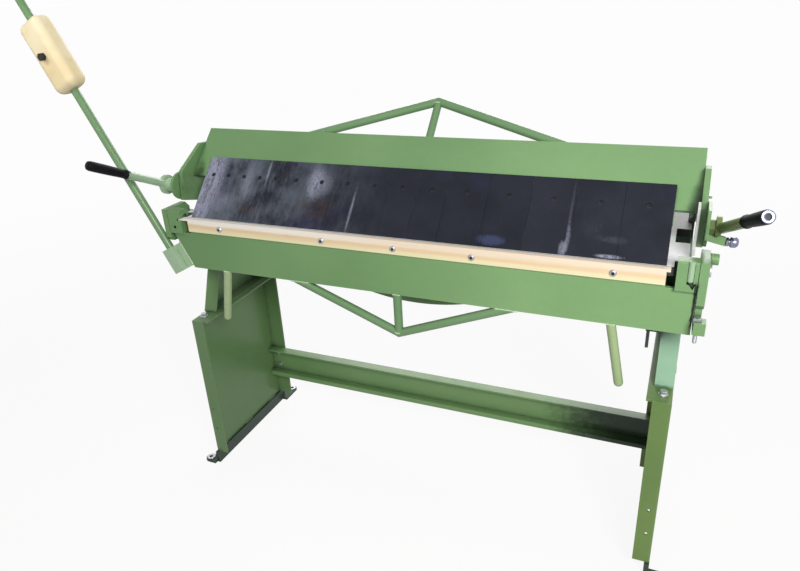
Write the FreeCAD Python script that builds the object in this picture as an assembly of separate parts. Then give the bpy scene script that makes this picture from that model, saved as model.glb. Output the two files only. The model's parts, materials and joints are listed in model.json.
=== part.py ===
import FreeCAD, Part
import math
import os

# Box and pan brake. Millimetres. X runs along the bend line, +Y to the back, +Z up.
# Z = 0 is the floor, X = Y = 0 lies midway between the two front anchor holes.
# Most places below are written from the bend line, where the sheet is folded.

BEND_Y = 31.0
BEND_Z = 822.0           # height of the bed's face above the floor
GAP = 0.2                # between pieces that are bolted or welded together
CURVE_GAP = 0.3          # between a round piece and what it lies against
RUN = 0.06               # radial clearance of a turning or sliding fit

# Fingers, the removable blades that press the sheet down
INCH = 25.4
FINGER_WIDTHS = (2, 2, 2, 2, 2, 3, 3, 3, 3, 3, 3, 4, 4, 4, 4, 4)
FINGER_ROW = sum(FINGER_WIDTHS) * INCH / 2
FINGER_GAP = 0.4
NOSE_Y = 3.0
NOSE_Z = 0.4
FINGER_TOP_Y = 131.0
FINGER_TOP_Z = 136.4
FINGER_BLOCK = 30.0
BOLT_T = 134.8           # up the slope from the bend line
BOLT_HEAD_R = 5.8
BOLT_SHANK_R = 4.0
BOLT_SINK = 2.0

# Stand
END_ROOM = 47.0          # from the last finger to the outer face of the leg
LEG_X = FINGER_ROW + END_ROOM
SHEET = 5.0
LEG_IN = LEG_X - SHEET
LEG_FRONT = -28.0
LEG_REAR = 341.0
LEG_TOP = -312.0
SKID_TALL = 39.0
LEG_BOTTOM = SKID_TALL - BEND_Z
FRONT_FLANGE = 41.2
REAR_FLANGE = 54.6
FLANGE_HOLE_R = 4.5
FLANGE_HOLE_INSET = 17.0
FLANGE_HOLES_UP = (90.0, 163.0)
SKID_THICK = 12.0
SKID_FRONT = LEG_FRONT - 8.0
SKID_REAR = LEG_REAR + 15.0
LUG_THICK = 8.0
FRONT_ANCHOR_X = LEG_X + 26.4
REAR_ANCHOR_X = LEG_X - 13.6
REAR_ANCHOR_Y = SKID_REAR + 49.0
ANCHOR_R = 6.0
LUG_HALF = 16.0
WASHER_R = 13.0
WASHER_THICK = 2.5
STRETCHER_UP = 230.5     # its upper face above the floor
STRETCHER_TOP = STRETCHER_UP - BEND_Z
STRETCHER_TALL = 92.0
STRETCHER_DEEP = 34.0
STRETCHER_LIP = 9.0
STRETCHER_INSET = 28.0   # bolts in from the inner face of the leg sheet
STRETCHER_BOLT_STEP = 44.0
BOLT_FIT = 0.2
NUT_ACROSS = 14.0
UPPER_FOOT_Y = 36.0      # front of the upper frame where it stands on the leg
UPPER_KNEE_Y = 99.4
UPPER_KNEE_Z = -150.0
UPPER_FRONT_Y = 50.0
PIVOT_Y = LEG_REAR - 41.0
PIVOT_Z = 16.0
PIVOT_R = 10.0
PIVOT_EYE = 22.0
PIVOT_NUT = 28.0
LEDGE_BOLT_Y = (LEG_FRONT + UPPER_FOOT_Y) / 2 + 4

# Hinge and apron
PIN_R = 9.0
PIN_FIT = 0.1
EAR_OUT = LEG_X + 14.7
EAR_IN = EAR_OUT - 41.3
PIN_END = EAR_IN + PIN_R - 3.0   # a thicker pin ends sooner, clear of the bend bar's tip
STUD_X = EAR_IN + 27.0
STUD_R = 6.6
STUD_Y = -PIN_R - 7.5
STUD_LOW = -24.0
EAR_FRONT = STUD_Y - 3.5
EAR_BACK = 16.0
EAR_TOP = 22.0
EAR_LOW = -43.0
CHEEK_IN = EAR_OUT + 1.3
CHEEK_OUT = CHEEK_IN + 17.4
CHEEK_LOW = -70.0
CHEEK_LOW_RIGHT = -83.0
CHEEK_BACK = 74.0
APRON_HALF = EAR_OUT + 0.3
APRON_FRONT = -9.0
APRON_THICK = 10.0
APRON_BACK = APRON_FRONT + APRON_THICK
APRON_MID = APRON_FRONT + APRON_THICK / 2
APRON_LOW = -146.0
RIB_UP = 68.0            # of the apron's rib above its lower edge
RIB_TALL = 10.0
RIB_OUT = 20.0
BAR_THICK = 6.0
BAR_FRONT = APRON_FRONT - BAR_THICK - GAP
BAR_TALL = 36.0
BAR_HALF = EAR_IN - 19.0
BAR_TIP_LEFT = EAR_IN + 11.0
BAR_TIP_RIGHT = EAR_IN - 11.0
BAR_TIP_TAPER = 13.0
BAR_SCREWS = (-507.0, -196.0, 0.0, 196.0, 507.0)
BAR_SCREW_Z = -21.0
BAR_SCREW_HEAD_R = 8.0
ROD_R = 11.0             # truss bars and counterweight rod
TRUSS_HALF = 277.5
TRUSS_LOW = -255.0
HANDLE_TOP_X = 511.0
HANDLE_LOW_X = 539.0
HANDLE_LOW_Z = -292.0
HANDLE_R = 10.5

# Bed
BED_HALF = LEG_IN - 0.4
BED_FRONT = APRON_BACK + 0.5
BED_REAR = LEG_REAR + 39.0
BED_THICK = 20.0
BED_EAR_CUT_X = EAR_IN - 6.0
# the bed is cut back at its ends to clear the ears and their studs as they swing
BED_EAR_CUT_Y = math.hypot(STUD_Y - STUD_R, EAR_TOP + 1) + 3.4
NOTCH_X = BED_HALF - 31.2
NOTCH_FRONT = 148.0
NOTCH_REAR = 240.0
FRONT_BEAM_Y = BED_EAR_CUT_Y + 1.0
BEAM_THICK = 12.0
FRONT_BEAM_TALL = 128.0
REAR_BEAM_TALL = 95.0
BELLY_Y = 119.0
BELLY_LOW = -228.0
BELLY_R = 600.0

# Counterweight rod, in the plane of the apron, leaning outwards to the left
ROD_X = -APRON_HALF - 7.4
ROD_Y = -10.0
ROD_Z = -123.0
ROD_LEAN = 27.17
ROD_FIT = 0.1
SOCKET_HALF = ROD_R + 7.0
SOCKET_LOW = -40.0
SOCKET_HIGH = 33.0
SOCKET_FLOOR = 12.0
WEB_REACH = SOCKET_HALF + 25.0
WEB_HALF = 5.0
ROD_LONG = 890.0
WEIGHT_AT = 617.0
WEIGHT_LONG = 198.0
WEIGHT_WIDE = 84.0
WEIGHT_DEEP = 60.0
WEIGHT_ROUND = 22.0
SCREW_R = 6.0
SCREW_HEAD_R = 9.0
SCREW_HEAD = 9.0

# Top leaf, lying in a 45 degree plane
LEAF_DEPTH = 6.4         # its front face lies this far behind the plane through the bend line
LEAF_THICK = 10.6
LEAF_BACK = LEAF_DEPTH + LEAF_THICK
LEAF_TOP = 288.5         # measured up the slope
LEAF_LOW = 134.0         # lower edge at the ends
LEAF_LOW_MID = 100.0     # lower edge behind the fingers
RIB_T = 104.0
RIB_THICK = 10.0
RIB_DEEP = 44.0
END_IN = LEG_X + 3.6
END_THICK = 12.0
END_OUT = END_IN + END_THICK
END_BOLTS = ((80.0, 111.0), (115.0, 123.0))
END_BOLT_HEAD = 7.0
LEAF_HALF = END_IN - GAP
WEAR_THICK = 5.6
WEAR_WIDE = 18.0
WEAR_LOW = 12.0
UPPER_TRUSS_X = 8.0
UPPER_TRUSS_TOP = 408.3
UPPER_TRUSS_SLOPE = 0.338
UPPER_TRUSS_HALF = 425.0
TRUSS_DEPTH = LEAF_BACK + ROD_R + CURVE_GAP
ANCHOR_HALF = 15.0
STRUT_R = 10.0
OVERRUN = 40.0           # bars are drawn past their meeting point, then cut there

# Clamps at the two ends
HUB_Y = 58.0
HUB_Z = 69.5
DISC_R = 38.0
DISC_THICK = 6.2
DISC_IN = END_OUT + GAP
DISC_OUT = DISC_IN + DISC_THICK
HUB_IN = DISC_OUT + 0.4
HUB_R = 19.0
FLANGE_R = 27.0
FLANGE_THICK = 10.0
CLAMP_PIN_R = 5.5
ARM_R = 11.0
ARM_SINK = 4.0           # of the arm's root below the hub's outer face
CORE_R = 8.0
GRIP_R = 13.0
GRIP_SHELL = 7.5         # of the grip past the end of its core
GRIP_CAP = 4.0
GRIP_HOLE_R = 4.5
# length of the hub, then where the grip starts and ends
CLAMP_LEFT = (50.0, (HUB_IN + 48.7, -70.4, 130.5), (HUB_IN + 80.6, -167.9, 180.0))
CLAMP_RIGHT = (23.0, (HUB_IN + 53.0, -84.0, 136.0), (HUB_IN + 77.0, -168.0, 175.5))
FORK_FRONT = 4.0
FORK_BACK = 12.0
FORK_TOP = 124.0
FORK_ELBOW = 62.0
FORK_ARM = 9.0
FORK_OUT = DISC_OUT + 32.4
FORK_FOOT_BACK = 70.0
FORK_FOOT_TALL = 30.0
KNOB_Y = 8.0
KNOB_Z = 62.0
KNOB_R = 11.0
KNOB_LONG = 24.0

# Adjusting screw and rest at the right
CHEEK_BOSS_Y = 31.0
CHEEK_BOSS_Z = 14.0
CHEEK_BOSS_R = 12.0
CHEEK_BOSS_LONG = 16.0
EAR_HOLE_X = EAR_IN + 23.0
EAR_HOLE_Z = -25.0
EAR_HOLE_R = 4.5
LUG_IN = CHEEK_IN + 0.6
LUG_OUT = CHEEK_OUT + 8.0
LUG_TOP = -105.0
LUG_LOW = -133.0
ADJUST_X = CHEEK_IN + 8.4
ADJUST_Y = -20.0
ADJUST_R = 4.5
ADJUST_LOW = -157.0
REST_Y = 66.0
REST_Z = -182.0
REST_PIN_R = 6.0
REST_REACH = LEG_X - 74.6
LEVER_LONG = 46.0
LEVER_WIDE = 14.0
LEVER_THICK = 7.0


def at(x, y, z):
    """A point written from the bend line, in the part's own frame."""
    return FreeCAD.Vector(x, y + BEND_Y, z + BEND_Z)


def box(x0, x1, y0, y1, z0, z1):
    x0, x1 = min(x0, x1), max(x0, x1)
    return Part.makeBox(x1 - x0, y1 - y0, z1 - z0, at(x0, y0, z0))


def along_x(points, x0, x1):
    """A profile of (y, z) points drawn out along X."""
    x0, x1 = min(x0, x1), max(x0, x1)
    wire = Part.makePolygon([at(x0, y, z) for y, z in points + points[:1]])
    return Part.Face(wire).extrude(FreeCAD.Vector(x1 - x0, 0, 0))


def along_y(points, y0, y1):
    """A profile of (x, z) points drawn out along Y."""
    wire = Part.makePolygon([at(x, y0, z) for x, z in points + points[:1]])
    return Part.Face(wire).extrude(FreeCAD.Vector(0, y1 - y0, 0))


def along_z(points, z0, z1):
    """A profile of (x, y) points drawn out along Z."""
    wire = Part.makePolygon([at(x, y, z0) for x, y in points + points[:1]])
    return Part.Face(wire).extrude(FreeCAD.Vector(0, 0, z1 - z0))


def rod(a, b, r):
    """A round bar between two points written from the bend line."""
    start = at(*a)
    way = at(*b) - start
    return Part.makeCylinder(r, way.Length, start, way)


def hexagon(a, b, across):
    """A six-sided bar between two points, such as a bolt head."""
    start = at(*a)
    way = at(*b) - start
    side = way.cross(FreeCAD.Vector(0, 0, 1))
    if side.Length < 1e-6:
        side = FreeCAD.Vector(1, 0, 0)
    side.normalize()
    up = side.cross(way)
    up.normalize()
    r = across / math.sqrt(3)
    ring = []
    for i in range(7):
        turn = math.radians(60 * i)
        ring.append(start + side * (r * math.cos(turn)) + up * (r * math.sin(turn)))
    return Part.Face(Part.makePolygon(ring)).extrude(way)


def slope(t, d):
    """(y, z) of a point t up the 45 degree slope and d behind it."""
    return ((t + d) / math.sqrt(2), (t - d) / math.sqrt(2))


def sloped(t0, t1, d0, d1, x0, x1):
    corners = [slope(t0, d0), slope(t1, d0), slope(t1, d1), slope(t0, d1)]
    return along_x(corners, x0, x1)


def mirrored(shape):
    return shape.mirror(FreeCAD.Vector(0, 0, 0), FreeCAD.Vector(1, 0, 0))


def fused(shapes):
    whole = shapes[0]
    for other in shapes[1:]:
        whole = whole.fuse(other)
    return whole.removeSplitter()


def group(shapes):
    return Part.makeCompound(shapes)


def pair(shape):
    return group([mirrored(shape), shape])


def save(name, shape):
    shape.exportStep(os.path.join("parts", name + ".step"))


# Stand

def leg():
    sheet = box(LEG_IN, LEG_X, LEG_FRONT, LEG_REAR, LEG_BOTTOM, LEG_TOP)
    front = box(LEG_X - FRONT_FLANGE, LEG_X, LEG_FRONT, LEG_FRONT + SHEET, LEG_BOTTOM, LEG_TOP)
    rear = box(LEG_X - REAR_FLANGE, LEG_X, LEG_REAR - SHEET, LEG_REAR, LEG_BOTTOM, LEG_TOP)
    top = box(LEG_X - REAR_FLANGE, LEG_X, LEG_FRONT, LEG_REAR, LEG_TOP - SHEET, LEG_TOP)
    corner = box(LEG_X - REAR_FLANGE - 1, LEG_X - FRONT_FLANGE, LEG_FRONT - 1,
                 LEG_FRONT + SHEET, LEG_TOP - SHEET - 1, LEG_TOP + 1)
    body = fused([sheet, front, rear, top.cut(corner)])
    x = LEG_X - FLANGE_HOLE_INSET
    for up in FLANGE_HOLES_UP:
        z = LEG_BOTTOM + up
        body = body.cut(rod((x, LEG_FRONT - 1, z), (x, LEG_FRONT + SHEET + 1, z), FLANGE_HOLE_R))
    for x, z in stretcher_bolt_places():
        hole = rod((x, LEG_REAR - SHEET - 1, z), (x, LEG_REAR + 1, z), BOLT_SHANK_R + BOLT_FIT)
        body = body.cut(hole)
    x, y = ledge_bolt_x(), LEDGE_BOLT_Y
    hole = rod((x, y, LEG_TOP - SHEET - 1), (x, y, LEG_TOP + 1), BOLT_SHANK_R + BOLT_FIT)
    return body.cut(hole)


def ledge_bolt_x():
    return LEG_X - FRONT_FLANGE / 2


def lug(x, y, toward):
    """A floor lug with a rounded end and its anchor hole, reaching back to (x, y) + toward."""
    z0 = -BEND_Z
    plate = Part.makeCylinder(LUG_HALF, LUG_THICK, at(x, y, z0))
    dx, dy = toward
    if dx:
        arm = box(x, x + dx, y - LUG_HALF, y + LUG_HALF, z0, z0 + LUG_THICK)
    else:
        arm = box(x - LUG_HALF, x + LUG_HALF, y + dy, y, z0, z0 + LUG_THICK)
    hole = Part.makeCylinder(ANCHOR_R, LUG_THICK + 2, at(x, y, z0 - 1))
    return plate, arm, hole


def foot():
    bar = box(LEG_X - SKID_THICK, LEG_X, SKID_FRONT, SKID_REAR, -BEND_Z, LEG_BOTTOM - GAP)
    p1, a1, h1 = lug(FRONT_ANCHOR_X, -BEND_Y, (LEG_X - FRONT_ANCHOR_X - 1, 0))
    p2, a2, h2 = lug(REAR_ANCHOR_X, REAR_ANCHOR_Y, (0, SKID_REAR - 16 - REAR_ANCHOR_Y))
    body = fused([bar, p1, a1, p2, a2])
    return body.cut(h1).cut(h2)


def anchor_washers():
    rings = []
    for side in (-1, 1):
        for x, y in ((FRONT_ANCHOR_X, -BEND_Y), (REAR_ANCHOR_X, REAR_ANCHOR_Y)):
            z = -BEND_Z + LUG_THICK + 0.1
            ring = Part.makeCylinder(WASHER_R, WASHER_THICK, at(side * x, y, z))
            ring = ring.cut(Part.makeCylinder(ANCHOR_R, WASHER_THICK + 2, at(side * x, y, z - 1)))
            rings.append(ring)
    return group(rings)


def stretcher_bolt_places():
    x = LEG_IN - STRETCHER_INSET
    mid = STRETCHER_TOP - STRETCHER_TALL / 2
    return [(x, mid + STRETCHER_BOLT_STEP / 2), (x, mid - STRETCHER_BOLT_STEP / 2)]


def stretcher():
    half = LEG_IN - 0.5
    back = LEG_REAR - SHEET - GAP
    low = STRETCHER_TOP - STRETCHER_TALL
    front = back - STRETCHER_DEEP
    web = box(-half, half, back - SHEET, back, low, STRETCHER_TOP)
    top = box(-half, half, front, back, STRETCHER_TOP - SHEET, STRETCHER_TOP)
    bottom = box(-half, half, front, back, low, low + SHEET)
    lip = box(-half, half, front, front + SHEET, low - STRETCHER_LIP, low + SHEET)
    body = fused([web, top, bottom, lip])
    for x, z in stretcher_bolt_places():
        for side in (-1, 1):
            x0 = side * x
            hole = rod((x0, back - SHEET - 1, z), (x0, back + 1, z), BOLT_SHANK_R + BOLT_FIT)
            body = body.cut(hole)
    return body


def stretcher_bolts():
    bolts = []
    back = LEG_REAR - SHEET - GAP
    for x, z in stretcher_bolt_places():
        for side in (-1, 1):
            face = back - SHEET - 0.1
            x0 = side * x
            head = hexagon((x0, face - 6, z), (x0, face, z), NUT_ACROSS)
            shank = rod((x0, face, z), (x0, LEG_REAR + 0.1, z), BOLT_SHANK_R)
            nut = hexagon((x0, LEG_REAR + 0.1, z), (x0, LEG_REAR + 8, z), NUT_ACROSS)
            bolts.append(fused([head, shank, nut]))
    return group(bolts)


def upper_front_line(z):
    """Y of the sloped front of the upper frame at a height."""
    rise = UPPER_KNEE_Z - LEG_TOP
    return UPPER_FOOT_Y + (UPPER_KNEE_Y - UPPER_FOOT_Y) * (z - LEG_TOP) / rise


def upper_frame():
    """One sheet side with a sloped front flange, standing on the leg under the bed."""
    foot_z = LEG_TOP + GAP
    top_z = -BED_THICK - GAP
    y0 = upper_front_line(foot_z)
    side_profile = [(y0, foot_z), (UPPER_KNEE_Y, UPPER_KNEE_Z), (UPPER_FRONT_Y, UPPER_KNEE_Z + 40),
                    (UPPER_FRONT_Y, top_z), (PIVOT_Y - PIVOT_EYE, top_z),
                    (PIVOT_Y - PIVOT_EYE, PIVOT_Z + 4), (PIVOT_Y - 10, PIVOT_Z + PIVOT_EYE),
                    (PIVOT_Y + 10, PIVOT_Z + PIVOT_EYE), (PIVOT_Y + PIVOT_EYE, PIVOT_Z + 4),
                    (LEG_REAR, top_z), (LEG_REAR, foot_z)]
    side = along_x(side_profile, LEG_IN, LEG_X)
    flange_profile = [(y0, foot_z), (UPPER_KNEE_Y, UPPER_KNEE_Z),
                      (UPPER_KNEE_Y + SHEET, UPPER_KNEE_Z - 1), (y0 + SHEET, foot_z)]
    flange = along_x(flange_profile, LEG_X - FRONT_FLANGE, LEG_X)
    rear = box(LEG_X - REAR_FLANGE, LEG_X, LEG_REAR - SHEET, LEG_REAR, foot_z, top_z)
    sole = box(LEG_X - FRONT_FLANGE, LEG_X, y0, LEG_REAR, foot_z, foot_z + SHEET)
    body = fused([side, flange, rear, sole])
    eye = rod((LEG_IN - 1, PIVOT_Y, PIVOT_Z), (LEG_X + 1, PIVOT_Y, PIVOT_Z), PIVOT_R + PIN_FIT)
    return body.cut(eye)


def ledge_bolts():
    """The bolts in the ledge where the leg carries the upper frame."""
    x = ledge_bolt_x()
    z = LEG_TOP + 0.1
    washer = Part.makeCylinder(11, 2, at(x, LEDGE_BOLT_Y, z))
    head = hexagon((x, LEDGE_BOLT_Y, z + 2), (x, LEDGE_BOLT_Y, z + 10), 15)
    shank = rod((x, LEDGE_BOLT_Y, LEG_TOP - SHEET - 12), (x, LEDGE_BOLT_Y, z + 1), BOLT_SHANK_R)
    return pair(fused([washer, head, shank]))


def pivot_disc(x0, x1, r):
    return rod((x0, PIVOT_Y, PIVOT_Z), (x1, PIVOT_Y, PIVOT_Z), r)


def leaf_pivot_pins():
    """Pins at the back of the upper frames that the leaf's end plates turn on."""
    pin = pivot_disc(LEG_IN - 0.1, END_OUT + 2, PIVOT_R)
    nut = hexagon((LEG_IN - 10, PIVOT_Y, PIVOT_Z), (LEG_IN - 0.1, PIVOT_Y, PIVOT_Z), PIVOT_NUT)
    collar = pivot_disc(LEG_X + 0.1, END_IN - 0.4, PIVOT_R + 6)
    head = pivot_disc(END_OUT + 0.5, END_OUT + 8.5, PIVOT_R + 6)
    return pair(fused([pin, nut, collar, head]))


# Bed

def bed_plate():
    outline = []
    for side in (-1, 1):
        corner = [(BED_EAR_CUT_X, BED_FRONT), (BED_EAR_CUT_X, BED_EAR_CUT_Y),
                  (BED_HALF, BED_EAR_CUT_Y), (BED_HALF, NOTCH_FRONT), (NOTCH_X, NOTCH_FRONT),
                  (NOTCH_X, NOTCH_REAR), (BED_HALF, NOTCH_REAR), (BED_HALF, BED_REAR)]
        points = [(side * x, y) for x, y in corner]
        # the left end is walked from back to front, the right end from front to back
        outline += points if side > 0 else points[::-1]
    return along_z(outline, -BED_THICK, 0)


def front_beam():
    top = -BED_THICK - GAP
    half = LEG_IN - GAP
    return box(-half, half, FRONT_BEAM_Y, FRONT_BEAM_Y + BEAM_THICK, top - FRONT_BEAM_TALL, top)


def rear_beam():
    top = -BED_THICK - GAP
    half = LEG_X - REAR_FLANGE - GAP
    y = LEG_REAR - SHEET - BEAM_THICK
    return box(-half, half, y, y + BEAM_THICK, top - REAR_BEAM_TALL, top)


def belly_plate():
    """A plate under the bed whose lower edge is a shallow arc."""
    top = -BED_THICK - GAP
    centre_z = BELLY_LOW + BELLY_R
    disc = rod((0, BELLY_Y, centre_z), (0, BELLY_Y + BEAM_THICK, centre_z), BELLY_R)
    half = math.sqrt(BELLY_R ** 2 - (centre_z - top) ** 2)
    return disc.common(box(-half, half, BELLY_Y, BELLY_Y + BEAM_THICK, BELLY_LOW, top))


# Hinge at each end of the bend line

def cheek(low):
    """The fixed cheek outside the apron's ear, reaching in behind it to the stand."""
    plate = along_x([(EAR_FRONT, EAR_TOP), (EAR_FRONT, low + 12), (EAR_FRONT + 12, low),
                     (CHEEK_BACK, low), (CHEEK_BACK, 6), (CHEEK_BACK - 14, EAR_TOP)],
                    CHEEK_IN, CHEEK_OUT)
    inward = box(LEG_X + GAP, CHEEK_IN + 1, UPPER_FRONT_Y + 4, CHEEK_BACK, low, -4)
    body = fused([plate, inward])
    return body.cut(rod((CHEEK_IN - 1, 0, 0), (CHEEK_OUT + 1, 0, 0), PIN_R + PIN_FIT))


def cheek_right():
    """As the left one, with the lug for the adjusting screw below it."""
    body = cheek(CHEEK_LOW_RIGHT)
    stem = box(LUG_IN, CHEEK_OUT - 2, EAR_FRONT + 14, UPPER_FRONT_Y, LUG_LOW, CHEEK_LOW_RIGHT + 1)
    ledge = box(LUG_IN, LUG_OUT, ADJUST_Y - 12, EAR_FRONT + 15, LUG_LOW, LUG_TOP)
    deep = LUG_TOP - LUG_LOW + 2
    hole = Part.makeCylinder(ADJUST_R + RUN, deep, at(ADJUST_X, ADJUST_Y, LUG_LOW - 1))
    return fused([body, stem, ledge]).cut(hole)


def hinge_pins():
    shaft = rod((PIN_END, 0, 0), (CHEEK_OUT + 0.1, 0, 0), PIN_R)
    head = rod((CHEEK_OUT + 0.1, 0, 0), (CHEEK_OUT + 4, 0, 0), PIN_R + 4)
    return pair(fused([shaft, head]))


def adjusting_screw():
    """Turns in the lug: a hexagon head on top, its shank out below."""
    top = LUG_TOP + 0.3
    head = hexagon((ADJUST_X, ADJUST_Y, top), (ADJUST_X, ADJUST_Y, top + 8), 16)
    shank = rod((ADJUST_X, ADJUST_Y, ADJUST_LOW), (ADJUST_X, ADJUST_Y, top + 1), ADJUST_R)
    return fused([head, shank])


def rest_bracket():
    """A small pin on the right upper frame that carries the rest lever."""
    y = upper_front_line(REST_Z)
    inner = LEG_X - FRONT_FLANGE
    foot = box(inner - 5, inner - GAP, REST_Y - 10, y + 16, REST_Z - 24, REST_Z + 10)
    pin = rod((REST_REACH, REST_Y, REST_Z), (inner - 3, REST_Y, REST_Z), REST_PIN_R)
    return fused([foot, pin])


def rest_lever():
    """A flat lever hanging on the pin, free to swing."""
    x0 = REST_REACH + 2
    eye = rod((x0, REST_Y, REST_Z), (x0 + LEVER_THICK, REST_Y, REST_Z), LEVER_WIDE / 2 + 3)
    z1 = REST_Z - LEVER_LONG
    blade = box(x0, x0 + LEVER_THICK, REST_Y - LEVER_WIDE / 2, REST_Y + LEVER_WIDE / 2, z1, REST_Z)
    return fused([eye, blade]).cut(
        rod((x0 - 1, REST_Y, REST_Z), (x0 + LEVER_THICK + 1, REST_Y, REST_Z), REST_PIN_R + RUN))


# Apron

def lean(s, e):
    """(x, z) of a point s along the counterweight rod and e across it."""
    a = math.radians(ROD_LEAN)
    return (ROD_X - s * math.sin(a) + e * math.cos(a), ROD_Z + s * math.cos(a) + e * math.sin(a))


def leaning_block(s0, s1, e0, e1, y0, y1):
    return along_y([lean(s0, e0), lean(s1, e0), lean(s1, e1), lean(s0, e1)], y0, y1)


def leaning_rod(s0, s1, r):
    x0, z0 = lean(s0, 0)
    x1, z1 = lean(s1, 0)
    return rod((x0, ROD_Y, z0), (x1, ROD_Y, z1), r)


def apron_plate():
    top = -BAR_THICK - CURVE_GAP
    plate = box(-APRON_HALF, APRON_HALF, APRON_FRONT, APRON_BACK, APRON_LOW, top)
    for side in (-1, 1):
        ear_room = box(side * (BAR_HALF + 0.5), side * (APRON_HALF + 1),
                       APRON_FRONT - 1, APRON_BACK + 1, EAR_LOW - GAP, top + 1)
        plate = plate.cut(ear_room)
    # the lower left corner is cut off along the counterweight rod
    beyond = leaning_block(-200, 200, WEB_REACH - 100, WEB_REACH, APRON_FRONT - 1, APRON_BACK + 1)
    return plate.cut(beyond)


def apron_rib():
    half = BAR_HALF - 11
    back = APRON_BACK + GAP
    low = APRON_LOW + RIB_UP
    return box(-half, half, back, back + RIB_OUT, low, low + RIB_TALL)


def bend_bar():
    """Angle bar along the bend line: its top face is level with the bed."""
    upright = box(-BAR_HALF, BAR_HALF, BAR_FRONT, BAR_FRONT + BAR_THICK, -BAR_TALL, 0)
    outline = [(-BAR_TIP_LEFT, BAR_FRONT), (BAR_TIP_RIGHT, BAR_FRONT),
               (BAR_TIP_RIGHT, -1), (-BAR_TIP_LEFT + BAR_TIP_TAPER, -1)]
    flat = along_z(outline, -BAR_THICK, 0)
    body = fused([upright, flat])
    for x in BAR_SCREWS:
        hole = rod((x, BAR_FRONT - 1, BAR_SCREW_Z), (x, APRON_FRONT + 1, BAR_SCREW_Z),
                   BOLT_SHANK_R + BOLT_FIT)
        body = body.cut(hole)
    return body


def bar_screws():
    screws = []
    for x in BAR_SCREWS:
        head = rod((x, BAR_FRONT - 4, BAR_SCREW_Z), (x, BAR_FRONT - 0.1, BAR_SCREW_Z),
                   BAR_SCREW_HEAD_R)
        socket = rod((x, BAR_FRONT - 5, BAR_SCREW_Z), (x, BAR_FRONT - 1.5, BAR_SCREW_Z), 2.6)
        shank = rod((x, BAR_FRONT - 0.2, BAR_SCREW_Z), (x, APRON_FRONT - 0.1, BAR_SCREW_Z),
                    BOLT_SHANK_R)
        screws.append(fused([head, shank]).cut(socket))
    return group(screws)


def ear():
    """The block at the apron's end that turns on the hinge pin."""
    block = along_x([(EAR_FRONT, EAR_LOW), (EAR_FRONT, EAR_TOP - 3), (EAR_FRONT + 3, EAR_TOP),
                     (EAR_BACK - 6, EAR_TOP), (EAR_BACK, EAR_TOP - 6), (EAR_BACK, EAR_LOW + 14),
                     (EAR_BACK - 14, EAR_LOW)], EAR_IN, EAR_OUT)
    return block.cut(rod((EAR_IN - 1, 0, 0), (EAR_OUT + 1, 0, 0), PIN_R + RUN))


def ear_right():
    """Grooved in front for a round stud, with a pointed pocket under it."""
    groove = rod((STUD_X, STUD_Y, STUD_LOW - 3), (STUD_X, STUD_Y, EAR_TOP + 1), STUD_R + CURVE_GAP)
    mouth = box(STUD_X - STUD_R, STUD_X + STUD_R, EAR_FRONT - 1, STUD_Y, STUD_LOW - 3, EAR_TOP + 1)
    pocket = along_y([(STUD_X - 5, STUD_LOW), (STUD_X + 12, STUD_LOW), (STUD_X + 6, STUD_LOW - 14)],
                     EAR_FRONT - 1, EAR_FRONT + 9)
    return ear().cut(groove).cut(mouth).cut(pocket)


def ear_left():
    """Recessed for the pointed end of the bend bar, with a small hole beside it."""
    recess = box(EAR_IN - 1, BAR_TIP_LEFT + 1, EAR_FRONT - 1, 0, -BAR_THICK - CURVE_GAP, CURVE_GAP)
    hole = rod((EAR_HOLE_X, EAR_FRONT - 1, EAR_HOLE_Z), (EAR_HOLE_X, EAR_FRONT + 12, EAR_HOLE_Z),
               EAR_HOLE_R)
    return mirrored(ear().cut(recess).cut(hole))


def ear_stud():
    stem = rod((STUD_X, STUD_Y, STUD_LOW + STUD_R), (STUD_X, STUD_Y, EAR_TOP + 1), STUD_R)
    tip = Part.makeSphere(STUD_R, at(STUD_X, STUD_Y, STUD_LOW + STUD_R))
    return fused([stem, tip])


def lower_truss():
    """Two round bars from the apron's lower edge to a point below its middle."""
    bars = []
    y = APRON_MID
    slope_down = (TRUSS_LOW - APRON_LOW) / TRUSS_HALF
    for side in (-1, 1):
        far = (side * (TRUSS_HALF + OVERRUN), y, APRON_LOW - slope_down * OVERRUN)
        low = (-side * OVERRUN, y, TRUSS_LOW + slope_down * OVERRUN)
        bar = rod(far, low, ROD_R)
        reach = TRUSS_HALF + 2 * OVERRUN
        keep = box(side * 0.1, side * reach, y - 40, y + 40, TRUSS_LOW - 60, APRON_LOW - GAP)
        bars.append(bar.common(keep))
    return group(bars)


def lower_strut():
    y = APRON_MID
    post = rod((0, y, TRUSS_LOW), (0, y, APRON_LOW - GAP), ROD_R)
    slope_down = (TRUSS_LOW - APRON_LOW) / TRUSS_HALF
    for side in (-1, 1):
        far = (side * TRUSS_HALF, y, APRON_LOW)
        low = (-side * OVERRUN, y, TRUSS_LOW + slope_down * OVERRUN)
        post = post.cut(rod(far, low, ROD_R + CURVE_GAP))
    solids = sorted(post.Solids, key=lambda s: s.Volume)
    return solids[-1]


def apron_handles():
    y = APRON_MID
    down = (HANDLE_LOW_X - HANDLE_TOP_X) / (APRON_LOW - HANDLE_LOW_Z)
    grips = []
    for side in (-1, 1):
        top = (side * (HANDLE_TOP_X - down * 10), y, APRON_LOW + 10)
        low = (side * HANDLE_LOW_X, y, HANDLE_LOW_Z)
        bar = rod(top, low, HANDLE_R)
        end = Part.makeSphere(HANDLE_R, at(*low))
        keep = box(-APRON_HALF, APRON_HALF, y - 40, y + 40, HANDLE_LOW_Z - 40, APRON_LOW - GAP)
        grips.append(fused([bar, end]).common(keep))
    return group(grips)


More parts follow.
